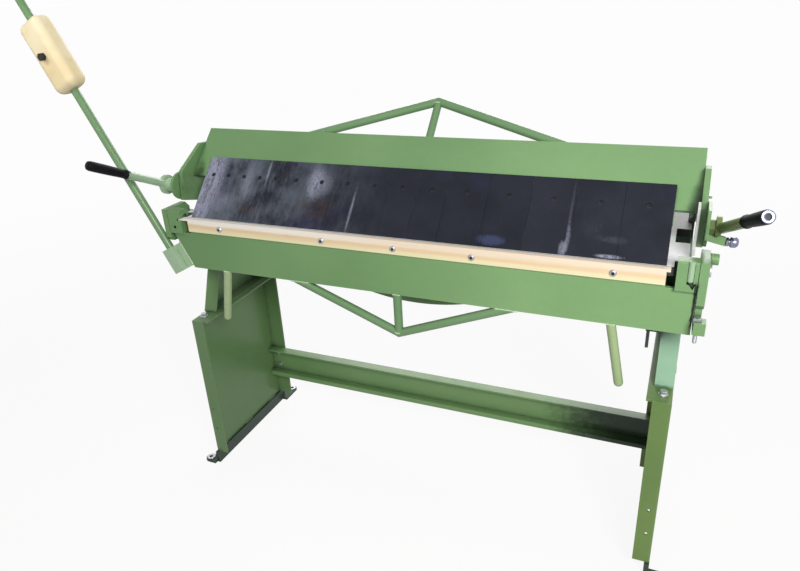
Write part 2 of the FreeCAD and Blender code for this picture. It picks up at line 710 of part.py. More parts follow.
def rod_socket():
    """A square socket for the counterweight rod and the web that joins it to the apron."""
    block = leaning_block(SOCKET_LOW, SOCKET_HIGH, -SOCKET_HALF, SOCKET_HALF,
                          ROD_Y - SOCKET_HALF, ROD_Y + SOCKET_HALF)
    web = leaning_block(SOCKET_LOW, SOCKET_HIGH, SOCKET_HALF - 1, WEB_REACH - GAP,
                        APRON_MID - WEB_HALF, APRON_MID + WEB_HALF)
    body = fused([block, web])
    return body.cut(leaning_rod(SOCKET_LOW + SOCKET_FLOOR, SOCKET_HIGH + 1, ROD_R + ROD_FIT))


def counterweight_rod():
    start = SOCKET_LOW + SOCKET_FLOOR + 0.1
    return leaning_rod(start, start + ROD_LONG, ROD_R)


def counterweight():
    s0 = WEIGHT_AT - WEIGHT_LONG / 2
    s1 = WEIGHT_AT + WEIGHT_LONG / 2
    w = WEIGHT_WIDE / 2
    h = WEIGHT_DEEP / 2
    block = leaning_block(s0, s1, -w, w, ROD_Y - h, ROD_Y + h)
    block = block.makeFillet(min(WEIGHT_ROUND, 0.9 * min(w, h)), block.Edges)
    block = block.cut(leaning_rod(s0 - 1, s1 + 1, ROD_R + RUN))
    x, z = lean(WEIGHT_AT, 0)
    hole = rod((x, ROD_Y - h - 1, z), (x, ROD_Y, z), SCREW_R + RUN)
    return block.cut(hole)


def counterweight_screw():
    x, z = lean(WEIGHT_AT, 0)
    face = ROD_Y - WEIGHT_DEEP / 2
    shank = rod((x, face - 4, z), (x, ROD_Y - ROD_R - CURVE_GAP, z), SCREW_R)
    head = hexagon((x, face - 4 - SCREW_HEAD, z), (x, face - 2, z), 2 * SCREW_HEAD_R)
    return fused([shank, head])


# Top leaf

def leaf_plate():
    plate = sloped(LEAF_LOW_MID, LEAF_TOP, LEAF_DEPTH, LEAF_BACK, -LEAF_HALF, LEAF_HALF)
    for side in (-1, 1):
        end = sloped(LEAF_LOW_MID - 1, LEAF_LOW, LEAF_DEPTH - 1, LEAF_BACK + 1,
                     side * (FINGER_ROW + 1), side * (LEAF_HALF + 1))
        plate = plate.cut(end)
    for x in finger_centres():
        hole = normal_rod(x, BOLT_T, LEAF_DEPTH - 1, LEAF_BACK + 1, BOLT_SHANK_R + BOLT_FIT)
        plate = plate.cut(hole)
    return plate


def normal_rod(x, t, d0, d1, r):
    """A round bar at right angles to the leaf."""
    y0, z0 = slope(t, d0)
    y1, z1 = slope(t, d1)
    return rod((x, y0, z0), (x, y1, z1), r)


def leaf_rib():
    back = LEAF_BACK + GAP
    half = FINGER_ROW - 2
    return sloped(RIB_T, RIB_T + RIB_THICK, back, back + RIB_DEEP, -half, half)


def leaf_end():
    """End plate of the leaf, running back to its pivot."""
    profile = [(43.5, 32), (56, 111), (153, 168), (196, 164),
               (PIVOT_Y + 30, PIVOT_Z + 36), (PIVOT_Y + 32, PIVOT_Z - 22),
               (PIVOT_Y + 4, PIVOT_Z - 32), (PIVOT_Y - 38, PIVOT_Z - 20), (120, 10)]
    plate = along_x(profile, END_IN, END_OUT)
    bore = hub_round(END_IN + 1, END_OUT + 1, CLAMP_PIN_R + PIN_FIT)
    return plate.cut(bore).cut(pivot_disc(END_IN - 1, END_OUT + 1, PIVOT_R + RUN))


def end_bolts():
    """Bolt heads on the outer faces of the end plates."""
    x = END_OUT + 0.1
    heads = [hexagon((x, y, z), (x + END_BOLT_HEAD, y, z), NUT_ACROSS) for y, z in END_BOLTS]
    return pair(group(heads))


def wear_strip():
    """A bare strip along the front of the end plate, on its inner side."""
    profile = [(43.5, WEAR_LOW), (56, 111), (56 + WEAR_WIDE, 119), (43.5 + WEAR_WIDE, WEAR_LOW)]
    return along_x(profile, END_IN - GAP - WEAR_THICK, END_IN - GAP)


def truss_t(x):
    return UPPER_TRUSS_TOP - UPPER_TRUSS_SLOPE * abs(x - UPPER_TRUSS_X)


def upper_bar(side, r):
    """One round bar of the upper truss, drawn a little past the top."""
    x0 = UPPER_TRUSS_X + side * UPPER_TRUSS_HALF
    x1 = UPPER_TRUSS_X - side * OVERRUN
    y0, z0 = slope(truss_t(x0), TRUSS_DEPTH)
    y1, z1 = slope(UPPER_TRUSS_TOP + UPPER_TRUSS_SLOPE * OVERRUN, TRUSS_DEPTH)
    return rod((x0, y0, z0), (x1, y1, z1), r)


def upper_truss():
    """Two round bars behind the leaf that rise to a point above its middle."""
    bars = []
    for side in (-1, 1):
        near = UPPER_TRUSS_X + side * 0.1
        far = UPPER_TRUSS_X + side * (UPPER_TRUSS_HALF + OVERRUN)
        keep = box(near, far, 0, UPPER_TRUSS_TOP, 0, UPPER_TRUSS_TOP)
        bars.append(upper_bar(side, ROD_R).common(keep))
    return group(bars)


def truss_anchors():
    """Blocks behind the leaf that hold the ends of the bars."""
    blocks = []
    for side in (-1, 1):
        x = UPPER_TRUSS_X + side * (UPPER_TRUSS_HALF + ANCHOR_HALF + 4)
        t = truss_t(x)
        blocks.append(sloped(t - 18, t + 18, LEAF_BACK + GAP, TRUSS_DEPTH + ROD_R + 4,
                             x - ANCHOR_HALF, x + ANCHOR_HALF))
    return group(blocks)


def truss_post(t0, t1, r):
    y0, z0 = slope(t0, TRUSS_DEPTH)
    y1, z1 = slope(t1, TRUSS_DEPTH)
    return rod((UPPER_TRUSS_X, y0, z0), (UPPER_TRUSS_X, y1, z1), r)


def upper_strut():
    """A short post from the leaf's back to the top of the truss, thicker at its foot."""
    low = LEAF_TOP - 22
    post = fused([truss_post(low, UPPER_TRUSS_TOP + 8, STRUT_R), truss_post(low, low + 18, ROD_R)])
    for side in (-1, 1):
        post = post.cut(upper_bar(side, ROD_R + CURVE_GAP))
    solids = sorted(post.Solids, key=lambda s: s.Volume)
    return solids[-1]


# Fingers

def finger_spans():
    spans = []
    x = -FINGER_ROW
    for width in FINGER_WIDTHS:
        spans.append((x, x + width * INCH))
        x += width * INCH
    return spans


def finger_centres():
    return [(a + b) / 2 for a, b in finger_spans()]


def finger(x0, x1):
    lie = LEAF_DEPTH - GAP
    t_top = (FINGER_TOP_Y + FINGER_TOP_Z) / math.sqrt(2)
    low = LEAF_LOW_MID - 0.5
    # the back of the block meets its bottom face here
    t_heel = NOSE_Z * math.sqrt(2) + FINGER_BLOCK
    profile = [(NOSE_Y, NOSE_Z), (FINGER_TOP_Y, FINGER_TOP_Z), slope(t_top, lie),
               slope(low, lie), slope(low, FINGER_BLOCK), slope(t_heel, FINGER_BLOCK)]
    x0 += FINGER_GAP / 2
    x1 -= FINGER_GAP / 2
    body = along_x(profile, x0, x1)
    mid = (x0 + x1) / 2
    return body.cut(normal_rod(mid, BOLT_T, -20, LEAF_DEPTH + 1, BOLT_HEAD_R + CURVE_GAP))


def fingers(inches):
    return group([finger(a, b) for (a, b), w in zip(finger_spans(), FINGER_WIDTHS) if w == inches])


def finger_face(t):
    """How far in front of the leaf's own plane the finger's face is at t."""
    run = (FINGER_TOP_Z - NOSE_Z) / (FINGER_TOP_Y - NOSE_Y)
    y = (t * math.sqrt(2) - NOSE_Z + run * NOSE_Y) / (1 + run)
    z = NOSE_Z + run * (y - NOSE_Y)
    return (y - z) / math.sqrt(2)


def finger_bolts():
    bolts = []
    face = finger_face(BOLT_T) + BOLT_SINK
    seat = LEAF_DEPTH - 0.1
    for x in finger_centres():
        head = normal_rod(x, BOLT_T, face, seat, BOLT_HEAD_R)
        socket = normal_rod(x, BOLT_T, face - 1, face + 3, 3.0)
        shank = normal_rod(x, BOLT_T, seat - 0.5, LEAF_BACK, BOLT_SHANK_R)
        bolts.append(fused([head, shank]).cut(socket))
    return group(bolts)


# Clamp at the right end; the left one is its mirror image, without the fork and knob

def hub_round(x0, x1, r):
    return rod((x0, HUB_Y, HUB_Z), (x1, HUB_Y, HUB_Z), r)


def clamp_disc():
    """The large disc that the handle turns against, fixed to the end plate."""
    disc = hub_round(DISC_IN, DISC_OUT, DISC_R)
    return disc.cut(hub_round(END_OUT, DISC_OUT + 1, CLAMP_PIN_R + PIN_FIT))


def clamp_pins():
    """The pins in the leaf's end plates that the two handles turn on."""
    left = mirrored(hub_round(END_IN + 2, HUB_IN + CLAMP_LEFT[0], CLAMP_PIN_R))
    return group([left, hub_round(END_IN + 2, HUB_IN + CLAMP_RIGHT[0], CLAMP_PIN_R)])


def clamp_fork():
    """A bent fork standing in front of the right disc, which holds the knob."""
    z = FORK_ELBOW
    shank = box(DISC_IN, DISC_OUT, FORK_FRONT, FORK_BACK, z, FORK_TOP)
    lower = along_y([(DISC_IN, z), (FORK_OUT, z - FORK_ARM), (FORK_OUT, z), (DISC_OUT, z + 12)],
                    FORK_FRONT, FORK_BACK)
    upper = along_y([(FORK_OUT - 20, z + 6), (FORK_OUT - 14, z + 12), (FORK_OUT, z + FORK_ARM),
                     (FORK_OUT, z - 1), (FORK_OUT - 12, z - 1)], FORK_FRONT, FORK_BACK)
    foot = box(DISC_IN, DISC_OUT, FORK_FRONT, FORK_FOOT_BACK, FORK_TOP - FORK_FOOT_TALL, FORK_TOP)
    body = fused([shank, lower, upper, foot])
    return body.cut(hub_round(END_OUT, HUB_IN, DISC_R + GAP))


def clamp_knob():
    """A bright knob screwed into the fork's end."""
    y, z = KNOB_Y, KNOB_Z
    start = FORK_OUT + 0.1
    collar = rod((start, y, z), (start + 3, y, z), KNOB_R - 3)
    head = rod((start + 3, y, z), (start + KNOB_LONG - 3, y, z), KNOB_R)
    tip = rod((start + KNOB_LONG - 3, y, z), (start + KNOB_LONG, y, z), KNOB_R - 3)
    return fused([collar, head, tip])


def cheek_boss():
    """The end of a bolt on the outside of the right cheek."""
    y, z = CHEEK_BOSS_Y, CHEEK_BOSS_Z
    start = CHEEK_OUT + 0.1
    return rod((start, y, z), (start + CHEEK_BOSS_LONG, y, z), CHEEK_BOSS_R)


def grip_long(clamp):
    return math.dist(clamp[1], clamp[2])


def along_grip(clamp, mm):
    """A point on the grip's axis, so many mm from its start."""
    share = mm / grip_long(clamp)
    return tuple(a + (b - a) * share for a, b in zip(clamp[1], clamp[2]))


def clamp_arm(clamp):
    """The flanged hub that turns on the pin, the round arm, and the core inside the grip."""
    out = HUB_IN + clamp[0]
    hub = hub_round(HUB_IN, out, HUB_R)
    flange = hub_round(out - FLANGE_THICK, out, FLANGE_R)
    arm = rod((out - ARM_SINK, HUB_Y, HUB_Z), along_grip(clamp, 0), ARM_R)
    core = rod(along_grip(clamp, -CORE_R), along_grip(clamp, grip_long(clamp) - GRIP_SHELL), CORE_R)
    body = fused([hub, flange, arm, core])
    return body.cut(hub_round(HUB_IN - 1, out + ARM_R + 1, CLAMP_PIN_R + RUN))


def clamp_grip(clamp):
    long = grip_long(clamp)
    start = GRIP_R / 4 + CURVE_GAP
    whole = rod(along_grip(clamp, start), along_grip(clamp, long), GRIP_R)
    bore = rod(along_grip(clamp, 0), along_grip(clamp, long - GRIP_SHELL + CURVE_GAP),
               CORE_R + PIN_FIT)
    return whole.cut(bore)


def grip_cap(clamp):
    """The bright cap on the grip's end, with a hole in its middle."""
    long = grip_long(clamp)
    ring = rod(along_grip(clamp, long + 0.1), along_grip(clamp, long + GRIP_CAP), GRIP_R - 1.5)
    sink = rod(along_grip(clamp, long + 1.2), along_grip(clamp, long + GRIP_CAP + 1), GRIP_HOLE_R)
    return ring.cut(sink)


os.makedirs("parts", exist_ok=True)

NODES = {
    "leg_left": mirrored(leg()),
    "leg_right": leg(),
    "foot_left": mirrored(foot()),
    "foot_right": foot(),
    "anchor_washers": anchor_washers(),
    "stretcher": stretcher(),
    "stretcher_bolts": stretcher_bolts(),
    "upper_frame_left": mirrored(upper_frame()),
    "upper_frame_right": upper_frame(),
    "ledge_bolts": ledge_bolts(),
    "leaf_pivot_pins": leaf_pivot_pins(),
    "bed_plate": bed_plate(),
    "bed_front_beam": front_beam(),
    "bed_rear_beam": rear_beam(),
    "bed_belly_plate": belly_plate(),
    "hinge_cheek_left": mirrored(cheek(CHEEK_LOW)),
    "hinge_cheek_right": cheek_right(),
    "hinge_pins": hinge_pins(),
    "adjusting_screw": adjusting_screw(),
    "rest_bracket": rest_bracket(),
    "rest_lever": rest_lever(),
    "apron_plate": apron_plate(),
    "apron_rib": apron_rib(),
    "bend_bar": bend_bar(),
    "bend_bar_screws": bar_screws(),
    "apron_ear_left": ear_left(),
    "apron_ear_right": ear_right(),
    "apron_ear_stud": ear_stud(),
    "lower_truss_bars": lower_truss(),
    "lower_truss_strut": lower_strut(),
    "apron_handles": apron_handles(),
    "counterweight_socket": rod_socket(),
    "counterweight_rod": counterweight_rod(),
    "counterweight": counterweight(),
    "counterweight_screw": counterweight_screw(),
    "leaf_plate": leaf_plate(),
    "leaf_rib": leaf_rib(),
    "leaf_end_left": mirrored(leaf_end()),
    "leaf_end_right": leaf_end(),
    "leaf_end_bolts": end_bolts(),
    "leaf_wear_strip": wear_strip(),
    "upper_truss_bars": upper_truss(),
    "upper_truss_anchors": truss_anchors(),
    "upper_truss_strut": upper_strut(),
    "fingers_two_inch": fingers(2),
    "fingers_three_inch": fingers(3),
    "fingers_four_inch": fingers(4),
    "finger_bolts": finger_bolts(),
    "clamp_pins": clamp_pins(),
    "clamp_discs": pair(clamp_disc()),
    "clamp_fork": clamp_fork(),
    "clamp_knob": clamp_knob(),
    "cheek_boss": cheek_boss(),
    "clamp_arm_left": mirrored(clamp_arm(CLAMP_LEFT)),
    "clamp_grip_left": mirrored(clamp_grip(CLAMP_LEFT)),
    "clamp_arm_right": clamp_arm(CLAMP_RIGHT),
    "clamp_grip_right": clamp_grip(CLAMP_RIGHT),
    "clamp_cap_right": grip_cap(CLAMP_RIGHT),
}

for node_name, node_shape in NODES.items():
    save(node_name, node_shape)
    solids = len(node_shape.Solids)
    print(node_name, "solids", solids, "valid", node_shape.isValid(), round(node_shape.Volume))
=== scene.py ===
# %% [markdown]
# # A box and pan brake, dressed for the studio
# This machine folds sheet metal. Its heavy parts were cut, bent and turned in a
# CAD program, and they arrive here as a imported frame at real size, in metres,
# with the floor at zero. A CAD mesh has the right shape but razor edges and no
# paint. The lesson rounds what a hand would feel as round, adds the welds and
# threads that CAD leaves out, and gives each surface its own worn finish.

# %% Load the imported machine
import bpy
import bmesh
import json
import math
import random
from mathutils import Matrix, Vector


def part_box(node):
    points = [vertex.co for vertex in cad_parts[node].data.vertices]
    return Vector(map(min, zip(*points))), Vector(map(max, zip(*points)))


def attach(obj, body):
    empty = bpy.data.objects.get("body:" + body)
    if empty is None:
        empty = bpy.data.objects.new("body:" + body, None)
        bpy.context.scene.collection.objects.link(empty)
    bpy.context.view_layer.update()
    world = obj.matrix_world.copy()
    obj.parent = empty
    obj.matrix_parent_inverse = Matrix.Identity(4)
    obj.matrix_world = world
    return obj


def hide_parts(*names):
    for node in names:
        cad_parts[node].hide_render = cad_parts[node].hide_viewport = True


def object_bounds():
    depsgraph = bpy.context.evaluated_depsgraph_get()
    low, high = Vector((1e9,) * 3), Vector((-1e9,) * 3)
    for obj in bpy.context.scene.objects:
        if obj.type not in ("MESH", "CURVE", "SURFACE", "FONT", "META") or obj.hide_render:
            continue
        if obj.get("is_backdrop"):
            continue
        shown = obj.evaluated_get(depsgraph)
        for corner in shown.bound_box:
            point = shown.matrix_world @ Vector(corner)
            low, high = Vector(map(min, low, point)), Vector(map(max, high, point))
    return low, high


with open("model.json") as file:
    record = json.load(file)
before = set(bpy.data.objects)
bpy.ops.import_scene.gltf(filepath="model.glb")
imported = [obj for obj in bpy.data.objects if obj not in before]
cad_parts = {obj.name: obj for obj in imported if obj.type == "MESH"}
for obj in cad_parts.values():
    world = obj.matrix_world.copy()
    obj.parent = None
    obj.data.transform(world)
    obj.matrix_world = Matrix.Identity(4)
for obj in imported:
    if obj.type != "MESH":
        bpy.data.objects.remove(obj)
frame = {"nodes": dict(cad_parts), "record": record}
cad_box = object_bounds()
random.seed(48)

# %% [markdown]
# ## The camera
# A photographer stood at the right front of the machine and looked down on it.
# The place was worked out from straight edges whose real lengths are known, and
# it comes out as a yaw, a pitch, a small roll and a lens. From those three
# angles we build the camera's own axes: right, up and backwards.

# %% Put the camera where the photographer stood
def placed(name, data):
    """A new object in the scene that shows this mesh, lamp or lens."""
    thing = bpy.data.objects.new(name, data)
    bpy.context.scene.collection.objects.link(thing)
    return thing


YAW, PITCH, ROLL = 0.42334, 0.42889, -0.05435
EYE = (0.62103, -1.33129, 1.38203)
LENS_IN_PIXELS, PICTURE_WIDTH = 665.1651, 800
FILM_WIDTH, SIGHT_LIMIT = 36, 400
ahead = Vector((-math.sin(YAW) * math.cos(PITCH), math.cos(YAW) * math.cos(PITCH),
                -math.sin(PITCH)))
level = Vector((math.cos(YAW), math.sin(YAW), 0))
above = level.cross(ahead)
right = math.cos(ROLL) * level + math.sin(ROLL) * above
up = right.cross(ahead)
lens = bpy.data.cameras.new("lens")
lens.sensor_width = FILM_WIDTH
lens.lens = LENS_IN_PIXELS / PICTURE_WIDTH * lens.sensor_width
lens.clip_end = SIGHT_LIMIT
camera = placed("camera", lens)
camera.matrix_world = (Matrix.Translation(EYE)
                       @ Matrix((right, up, -ahead)).transposed().to_4x4())
bpy.context.scene.camera = camera
bpy.context.scene.view_settings.view_transform = "Standard"
print("lens of", round(lens.lens, 2), "mm")

# %% [markdown]
# ## Numbers that read like arithmetic
# Every finish below is a small network of nodes. Wiring them by hand hides the
# idea, so one class wraps a socket and lets Python's own signs add the Math
# nodes: `0.3 + grain * 0.1` is two nodes. A second class holds the material and
# has one method that makes any other node: its settings are set first, and then
# its sockets are filled with numbers or with wires.

# %% A socket that can be added and multiplied
class Wire:
    """One output socket of a finish, used in expressions."""

    def __init__(self, finish, socket):
        self.finish = finish
        self.socket = socket

    def math(self, operation, first, second):
        return self.finish.node("Math", {"operation": operation}, {0: first, 1: second})

    def __add__(self, other):
        return self.math("ADD", self, other)

    def __radd__(self, other):
        return self.math("ADD", other, self)

    def __sub__(self, other):
        return self.math("SUBTRACT", self, other)

    def __rsub__(self, other):
        return self.math("SUBTRACT", other, self)

    def __mul__(self, other):
        return self.math("MULTIPLY", self, other)

    def __rmul__(self, other):
        return self.math("MULTIPLY", other, self)

    def __truediv__(self, other):
        return self.math("DIVIDE", self, other)

    def __pow__(self, other):
        return self.math("POWER", self, other)


print("wires know + - * / and **")

# %% [markdown]
# The second class is the workbench for one material. Patterns read Object
# coordinates, which are metres on this machine, so a scale of 100 means a
# feature about a centimetre across. The few patterns that every finish needs
# get a short name here: the place along an axis, noise, a soft step, a colour
# mix, a colour laid over another, the corner finder that finds where dust and
# painted shade go, and the edge finder, which compares the true normal with one
# that has been rounded over.

# %% The workbench for one material
X, Y, Z = 0, 1, 2


def tint(code):
    """A colour written as on paper, in the linear light that shaders use."""
    parts = [int(code[i:i + 2], 16) / 255 for i in (0, 2, 4)]
    return [p / 12.92 if p <= 0.04045 else ((p + 0.055) / 1.055) ** 2.4 for p in parts] + [1]


class Finish:
    """A material and the nodes that make it."""

    def __init__(self, name, data=None):
        self.data = data or bpy.data.materials.new(name)
        self.data.use_nodes = True
        self.tree = self.data.node_tree
        self.tree.nodes.clear()
        if data is None:
            self.place = self.node("TexCoord", out="Object")

    def node(self, kind, settings={}, inputs={}, out=0):
        """Any node: settings first, then the values or wires of its sockets."""
        made = self.tree.nodes.new("ShaderNode" + kind)
        for name, value in settings.items():
            setattr(made, name, value)
        for name, value in inputs.items():
            if isinstance(value, Wire):
                self.tree.links.new(value.socket, made.inputs[name])
            else:
                made.inputs[name].default_value = value
        return Wire(self, made.outputs[out]) if made.outputs else made

    def axis(self, number):
        """How far along X, Y or Z a point of the machine lies, in metres."""
        return self.node("SeparateXYZ", {}, {0: self.place}, out=number)

    def facing(self, number):
        """How much a face looks along X, Y or Z, from -1 to 1."""
        normal = self.node("NewGeometry", out="Normal")
        return self.node("SeparateXYZ", {}, {0: normal}, out=number)

    def noise(self, scale, detail=3.0, rough=0.5, stretch=(1, 1, 1)):
        place = self.node("Mapping", {}, {0: self.place, 3: stretch})
        return self.node("TexNoise", {}, {"Vector": place, "Scale": scale, "Detail": detail,
                                          "Roughness": rough})

    def step(self, value, low, high):
        """0 below low, 1 above high, and soft between them."""
        return self.node("MapRange", {"interpolation_type": "SMOOTHSTEP"},
                         {"Value": value, "From Min": low, "From Max": high})

    def mix(self, share, first, second):
        return self.node("Mix", {"data_type": "RGBA"}, {0: share, 6: first, 7: second}, out=2)

    def layer(self, under, share, code):
        """Lay the colour of a code over what is under it, as far as share says."""
        return self.mix(share, under, tint(code))

    def edge(self, radius):
        """1 on an outer or inner edge and 0 on the flat beside it."""
        rounded = self.node("Bevel", {"samples": 4}, {"Radius": radius})
        true = self.node("NewGeometry", out="Normal")
        same = self.node("VectorMath", {"operation": "DOT_PRODUCT"}, {0: rounded, 1: true}, out=1)
        return self.step(1 - same, 0.01, 0.20)

    def crease(self, reach):
        """1 deep in a corner or a gap and 0 in the open, looking as far as reach."""
        open_sky = self.node("AmbientOcclusion", {"samples": 6}, {"Distance": reach}, out=1)
        return self.step(1 - open_sky, 0.30, 0.80)

    def looked_at(self):
        """1 for rays from the camera, from gloss and from glass, 0 for light on its way."""
        camera_ray, glossy_ray, glass_ray = [
            self.node("LightPath", out=ray)
            for ray in ("Is Camera Ray", "Is Glossy Ray", "Is Transmission Ray")]
        return self.step(camera_ray + glossy_ray + glass_ray, 0.0, 1.0)

    def bump(self, height, distance, strength):
        return self.node("Bump", {}, {"Strength": strength, "Distance": distance,
                                      "Height": height})

    def shader(self, **sockets):
        """The Principled shader: names use _ for the spaces of its sockets."""
        named = {name.replace("_", " "): value for name, value in sockets.items()}
        surface = self.node("BsdfPrincipled", {}, named)
        self.node("OutputMaterial", {}, {"Surface": surface})
        return self.data


print("white is", tint("ffffff")[:3])

# %% [markdown]
# ## The studio
# The machine stands in a plain white studio. The floor is one large sheet, and
# the camera, a mirror or a glass sees it and the sky behind it as paper white,
# while the floor still keeps a soft shadow so that the feet stand on something.
# That white only has to be seen. It isn't meant to light anything, so neither
# floor nor sky is sampled as a lamp, which also keeps the picture free of specks.

# %% White floor and white sky
FLOOR_SIZE = 240
WHITE_SEEN, SKY_FILL = 0.985, 0.16
CLEAN_NEAR, CLEAN_FAR, SHADE_FROM, SHADE_TO = 0.925, 0.995, 1.5, 4.5
bpy.ops.object.select_all(action="DESELECT")
bpy.ops.mesh.primitive_plane_add(size=FLOOR_SIZE)
floor = bpy.context.object
floor.name = "studio_floor"
floor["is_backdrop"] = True
paper = Finish("studio_paper")
looked_at = paper.looked_at()
fibre = paper.noise(9.0, detail=4.0)
sheet = paper.mix(fibre, tint("f0efec"), tint("fbfaf8"))
diffuse = paper.node("BsdfDiffuse", {}, {"Color": paper.mix(looked_at, tint("9b9a97"), sheet)})
glow = paper.node("Emission", {}, {"Color": (1, 1, 1, 1), "Strength": WHITE_SEEN})
distance = paper.node("VectorMath", {"operation": "LENGTH"}, {0: paper.place}, out=1)
clean = CLEAN_NEAR + paper.step(distance, SHADE_FROM, SHADE_TO) * (CLEAN_FAR - CLEAN_NEAR)
clear = paper.node("MixShader", {}, {0: looked_at * clean, 1: diffuse, 2: glow})
paper.node("OutputMaterial", {}, {"Surface": clear})
floor.data.materials.append(paper.data)
paper.data.cycles.emission_sampling = "NONE"
world = bpy.data.worlds.new("studio_sky")
bpy.context.scene.world = world
world.cycles.sampling_method = "NONE"
sky = Finish("studio_sky", world)
strength = sky.looked_at() * (WHITE_SEEN - SKY_FILL) + SKY_FILL
light = sky.node("Background", {}, {"Color": (1, 1, 1, 1), "Strength": strength})
sky.node("OutputWorld", {}, {"Surface": light})
print("floor and sky are white, fill", SKY_FILL)

# %% [markdown]
# The light comes from soft boxes. The key stands at the photographer's right
# shoulder. Two weaker boxes, in front and overhead, only fill the shade, so they
# are hidden from mirrors and leave no marks on plated parts. A small box on the
# left reaches the counterweight, which hangs outside the others' light. A wide
# screen behind the machine whitens, by its reflection, what faces up.

# %% Soft boxes
def soft_box(name, place, aim, size, watts, mirrored=True, spread=180):
    """An area light that looks at a point, and that the camera itself can't see."""
    lamp = bpy.data.lights.new(name, "AREA")
    lamp.shape = "RECTANGLE"
    lamp.size, lamp.size_y = size
    lamp.energy = watts
    lamp.spread = math.radians(spread)
    box = placed(name, lamp)
    box.location = place
    box.rotation_euler = (Vector(aim) - Vector(place)).to_track_quat("-Z", "Y").to_euler()
    box.visible_camera = False
    box.visible_glossy = mirrored


soft_box("key", (1.42, -1.65, 1.92), (0.35, 0.1, 0.75), (0.85, 0.85), 56)
soft_box("front_fill", (-0.2, -2.9, 1.4), (0.0, 0.1, 0.8), (1.4, 1.0), 14, mirrored=False)
soft_box("overhead", (0.0, -0.3, 3.2), (0.0, 0.1, 0.8), (2.4, 1.6), 6, mirrored=False)
soft_box("left_box", (-1.30, -0.75, 1.85), (-0.965, 0.0, 1.25), (0.4, 0.4), 0.5,
         mirrored=False, spread=50)
soft_box("rear_screen", (-0.6, 4.2, 2.6), (0.0, 0.1, 0.6), (4.4, 1.8), 115)
print("five soft boxes")

# %% [markdown]
# ## Green enamel
# The stand, the apron and the leaf are sprayed with a glossy machine enamel. A
# flat colour would look like plastic. Real enamel drifts a little from panel to
# panel, shows a fine orange peel in its reflections, holds dust in its corners,
# and is rubbed paler along its edges. Here one slow noise moves the hue, one
# finer noise mottles it, the edge finder lightens the arrises where a third noise
# allows, partly as rubbed wear and partly as a painted highlight, the corner
# finder darkens creases and gaps, partly for that dust and partly as painted
# shade, and a very shallow bump breaks the gloss. Some pieces ask for more:
# painted shade that grows towards the left end, where less light falls, painted
# shade deep in hollows, dark patches of painted shade on faces that look to the
# front, beside the leaf's end plates and on the channel near the right leg, and
# a dark line of painted shade beside the hinge, where there is a gap.

# %% Enamel
def enamel(name, light, dark, rub="a9c6a0", gloss=0.30, peel_depth=0.20, grime_and_shade_reach=0.012,
           hollow_shade=0, dim=0.8, left_shade=0, hinge_gap_shade=0, patches=()):
    """Machine enamel: hollow and dim give the reach and strength of painted shade in
    hollows, and a dark patch of painted shade is (x, z, width, height, strength)."""
    paint = Finish(name)
    drift = paint.step(paint.noise(2.1, detail=2.0), 0.34, 0.66)
    mottle = paint.noise(46.0, detail=5.0, rough=0.62)
    streak = paint.noise(9.0, detail=3.0, stretch=(1.0, 1.0, 5.0))
    along, height = paint.axis(X), paint.axis(Z)
    fleck = paint.step(paint.noise(620.0, detail=1.0), 0.66, 0.74)
    shade = drift * 0.50 + mottle * 0.30 + streak * 0.20
    coat = paint.mix(shade, tint(dark), tint(light))
    # painted shade: the paint darkens towards the left end, where less light falls
    if left_shade:
        shade_leftwards = paint.step(along + (drift - 0.5) * 0.2, 0.45, -0.75)
        coat = paint.layer(coat, shade_leftwards * left_shade, "5d8352")
    coat = paint.layer(coat, fleck * 0.22, "4a6742")
    # paler edges: partly rubbed wear and partly a painted highlight
    edge = paint.edge(0.0016)
    hands = paint.step(paint.noise(70.0, detail=3.0), 0.42, 0.62)
    rubbed_and_highlit = edge * (0.45 + 0.55 * hands)
    coat = paint.layer(coat, rubbed_and_highlit * 0.60, rub)
    bare = edge * paint.step(paint.noise(140.0, detail=4.0), 0.63, 0.68)
    coat = paint.layer(coat, bare * 0.8, "8c9088")
    # painted shade and dust: the corner finder darkens creases and gaps
    clump = paint.step(paint.noise(90.0, detail=4.0), 0.40, 0.60)
    grime_and_shade = paint.crease(grime_and_shade_reach) * (0.55 + 0.45 * clump)
    coat = paint.layer(coat, grime_and_shade * 0.92, "18211b")
    # painted shade deep in hollows, as far as the reach looks
    if hollow_shade:
        coat = paint.layer(coat, paint.crease(hollow_shade) * dim, "141f19")
    # painted shade: dark patches on faces that look to the front, beside the leaf's end plates and
    # on the channel near the right leg
    front = paint.step(paint.facing(Y), 0.3, -0.3)
    for x, z, wide, tall, much in patches:
        away = ((along - x) / wide) ** 2 + ((height - z) / tall) ** 2
        shaded = paint.step(away + (mottle - 0.5) * 1.2, 1.5, 0.1)
        coat = paint.layer(coat, shaded * front * much, "16241c")
    # painted shade: a dark line beside the hinge, where there is a gap
    if hinge_gap_shade:
        off = paint.node("Math", {"operation": "ABSOLUTE"}, {0: along - hinge_gap_shade})
        line = paint.step(off + (mottle - 0.5) * 0.010, 0.0046, 0.0022)
        smear = line * paint.step(height, 0.688, 0.700) * paint.step(height, 0.806, 0.792)
        coat = paint.layer(coat, smear * 0.95, "0d1511")
    smudge = paint.step(paint.noise(14.0, detail=4.0, rough=0.7), 0.45, 0.75)
    rough = gloss + mottle * 0.08 + smudge * 0.12 + bare * 0.10 + grime_and_shade * 0.3
    peel = paint.noise(340.0, detail=2.0) + paint.noise(1500.0, detail=1.0) * 0.2
    return paint.shader(Base_Color=coat, Roughness=rough, Specular_IOR_Level=0.26,
                        Coat_Weight=0.14, Coat_Roughness=0.18,
                        Normal=paint.bump(peel, 0.0003, peel_depth))


print("one recipe for the greens")
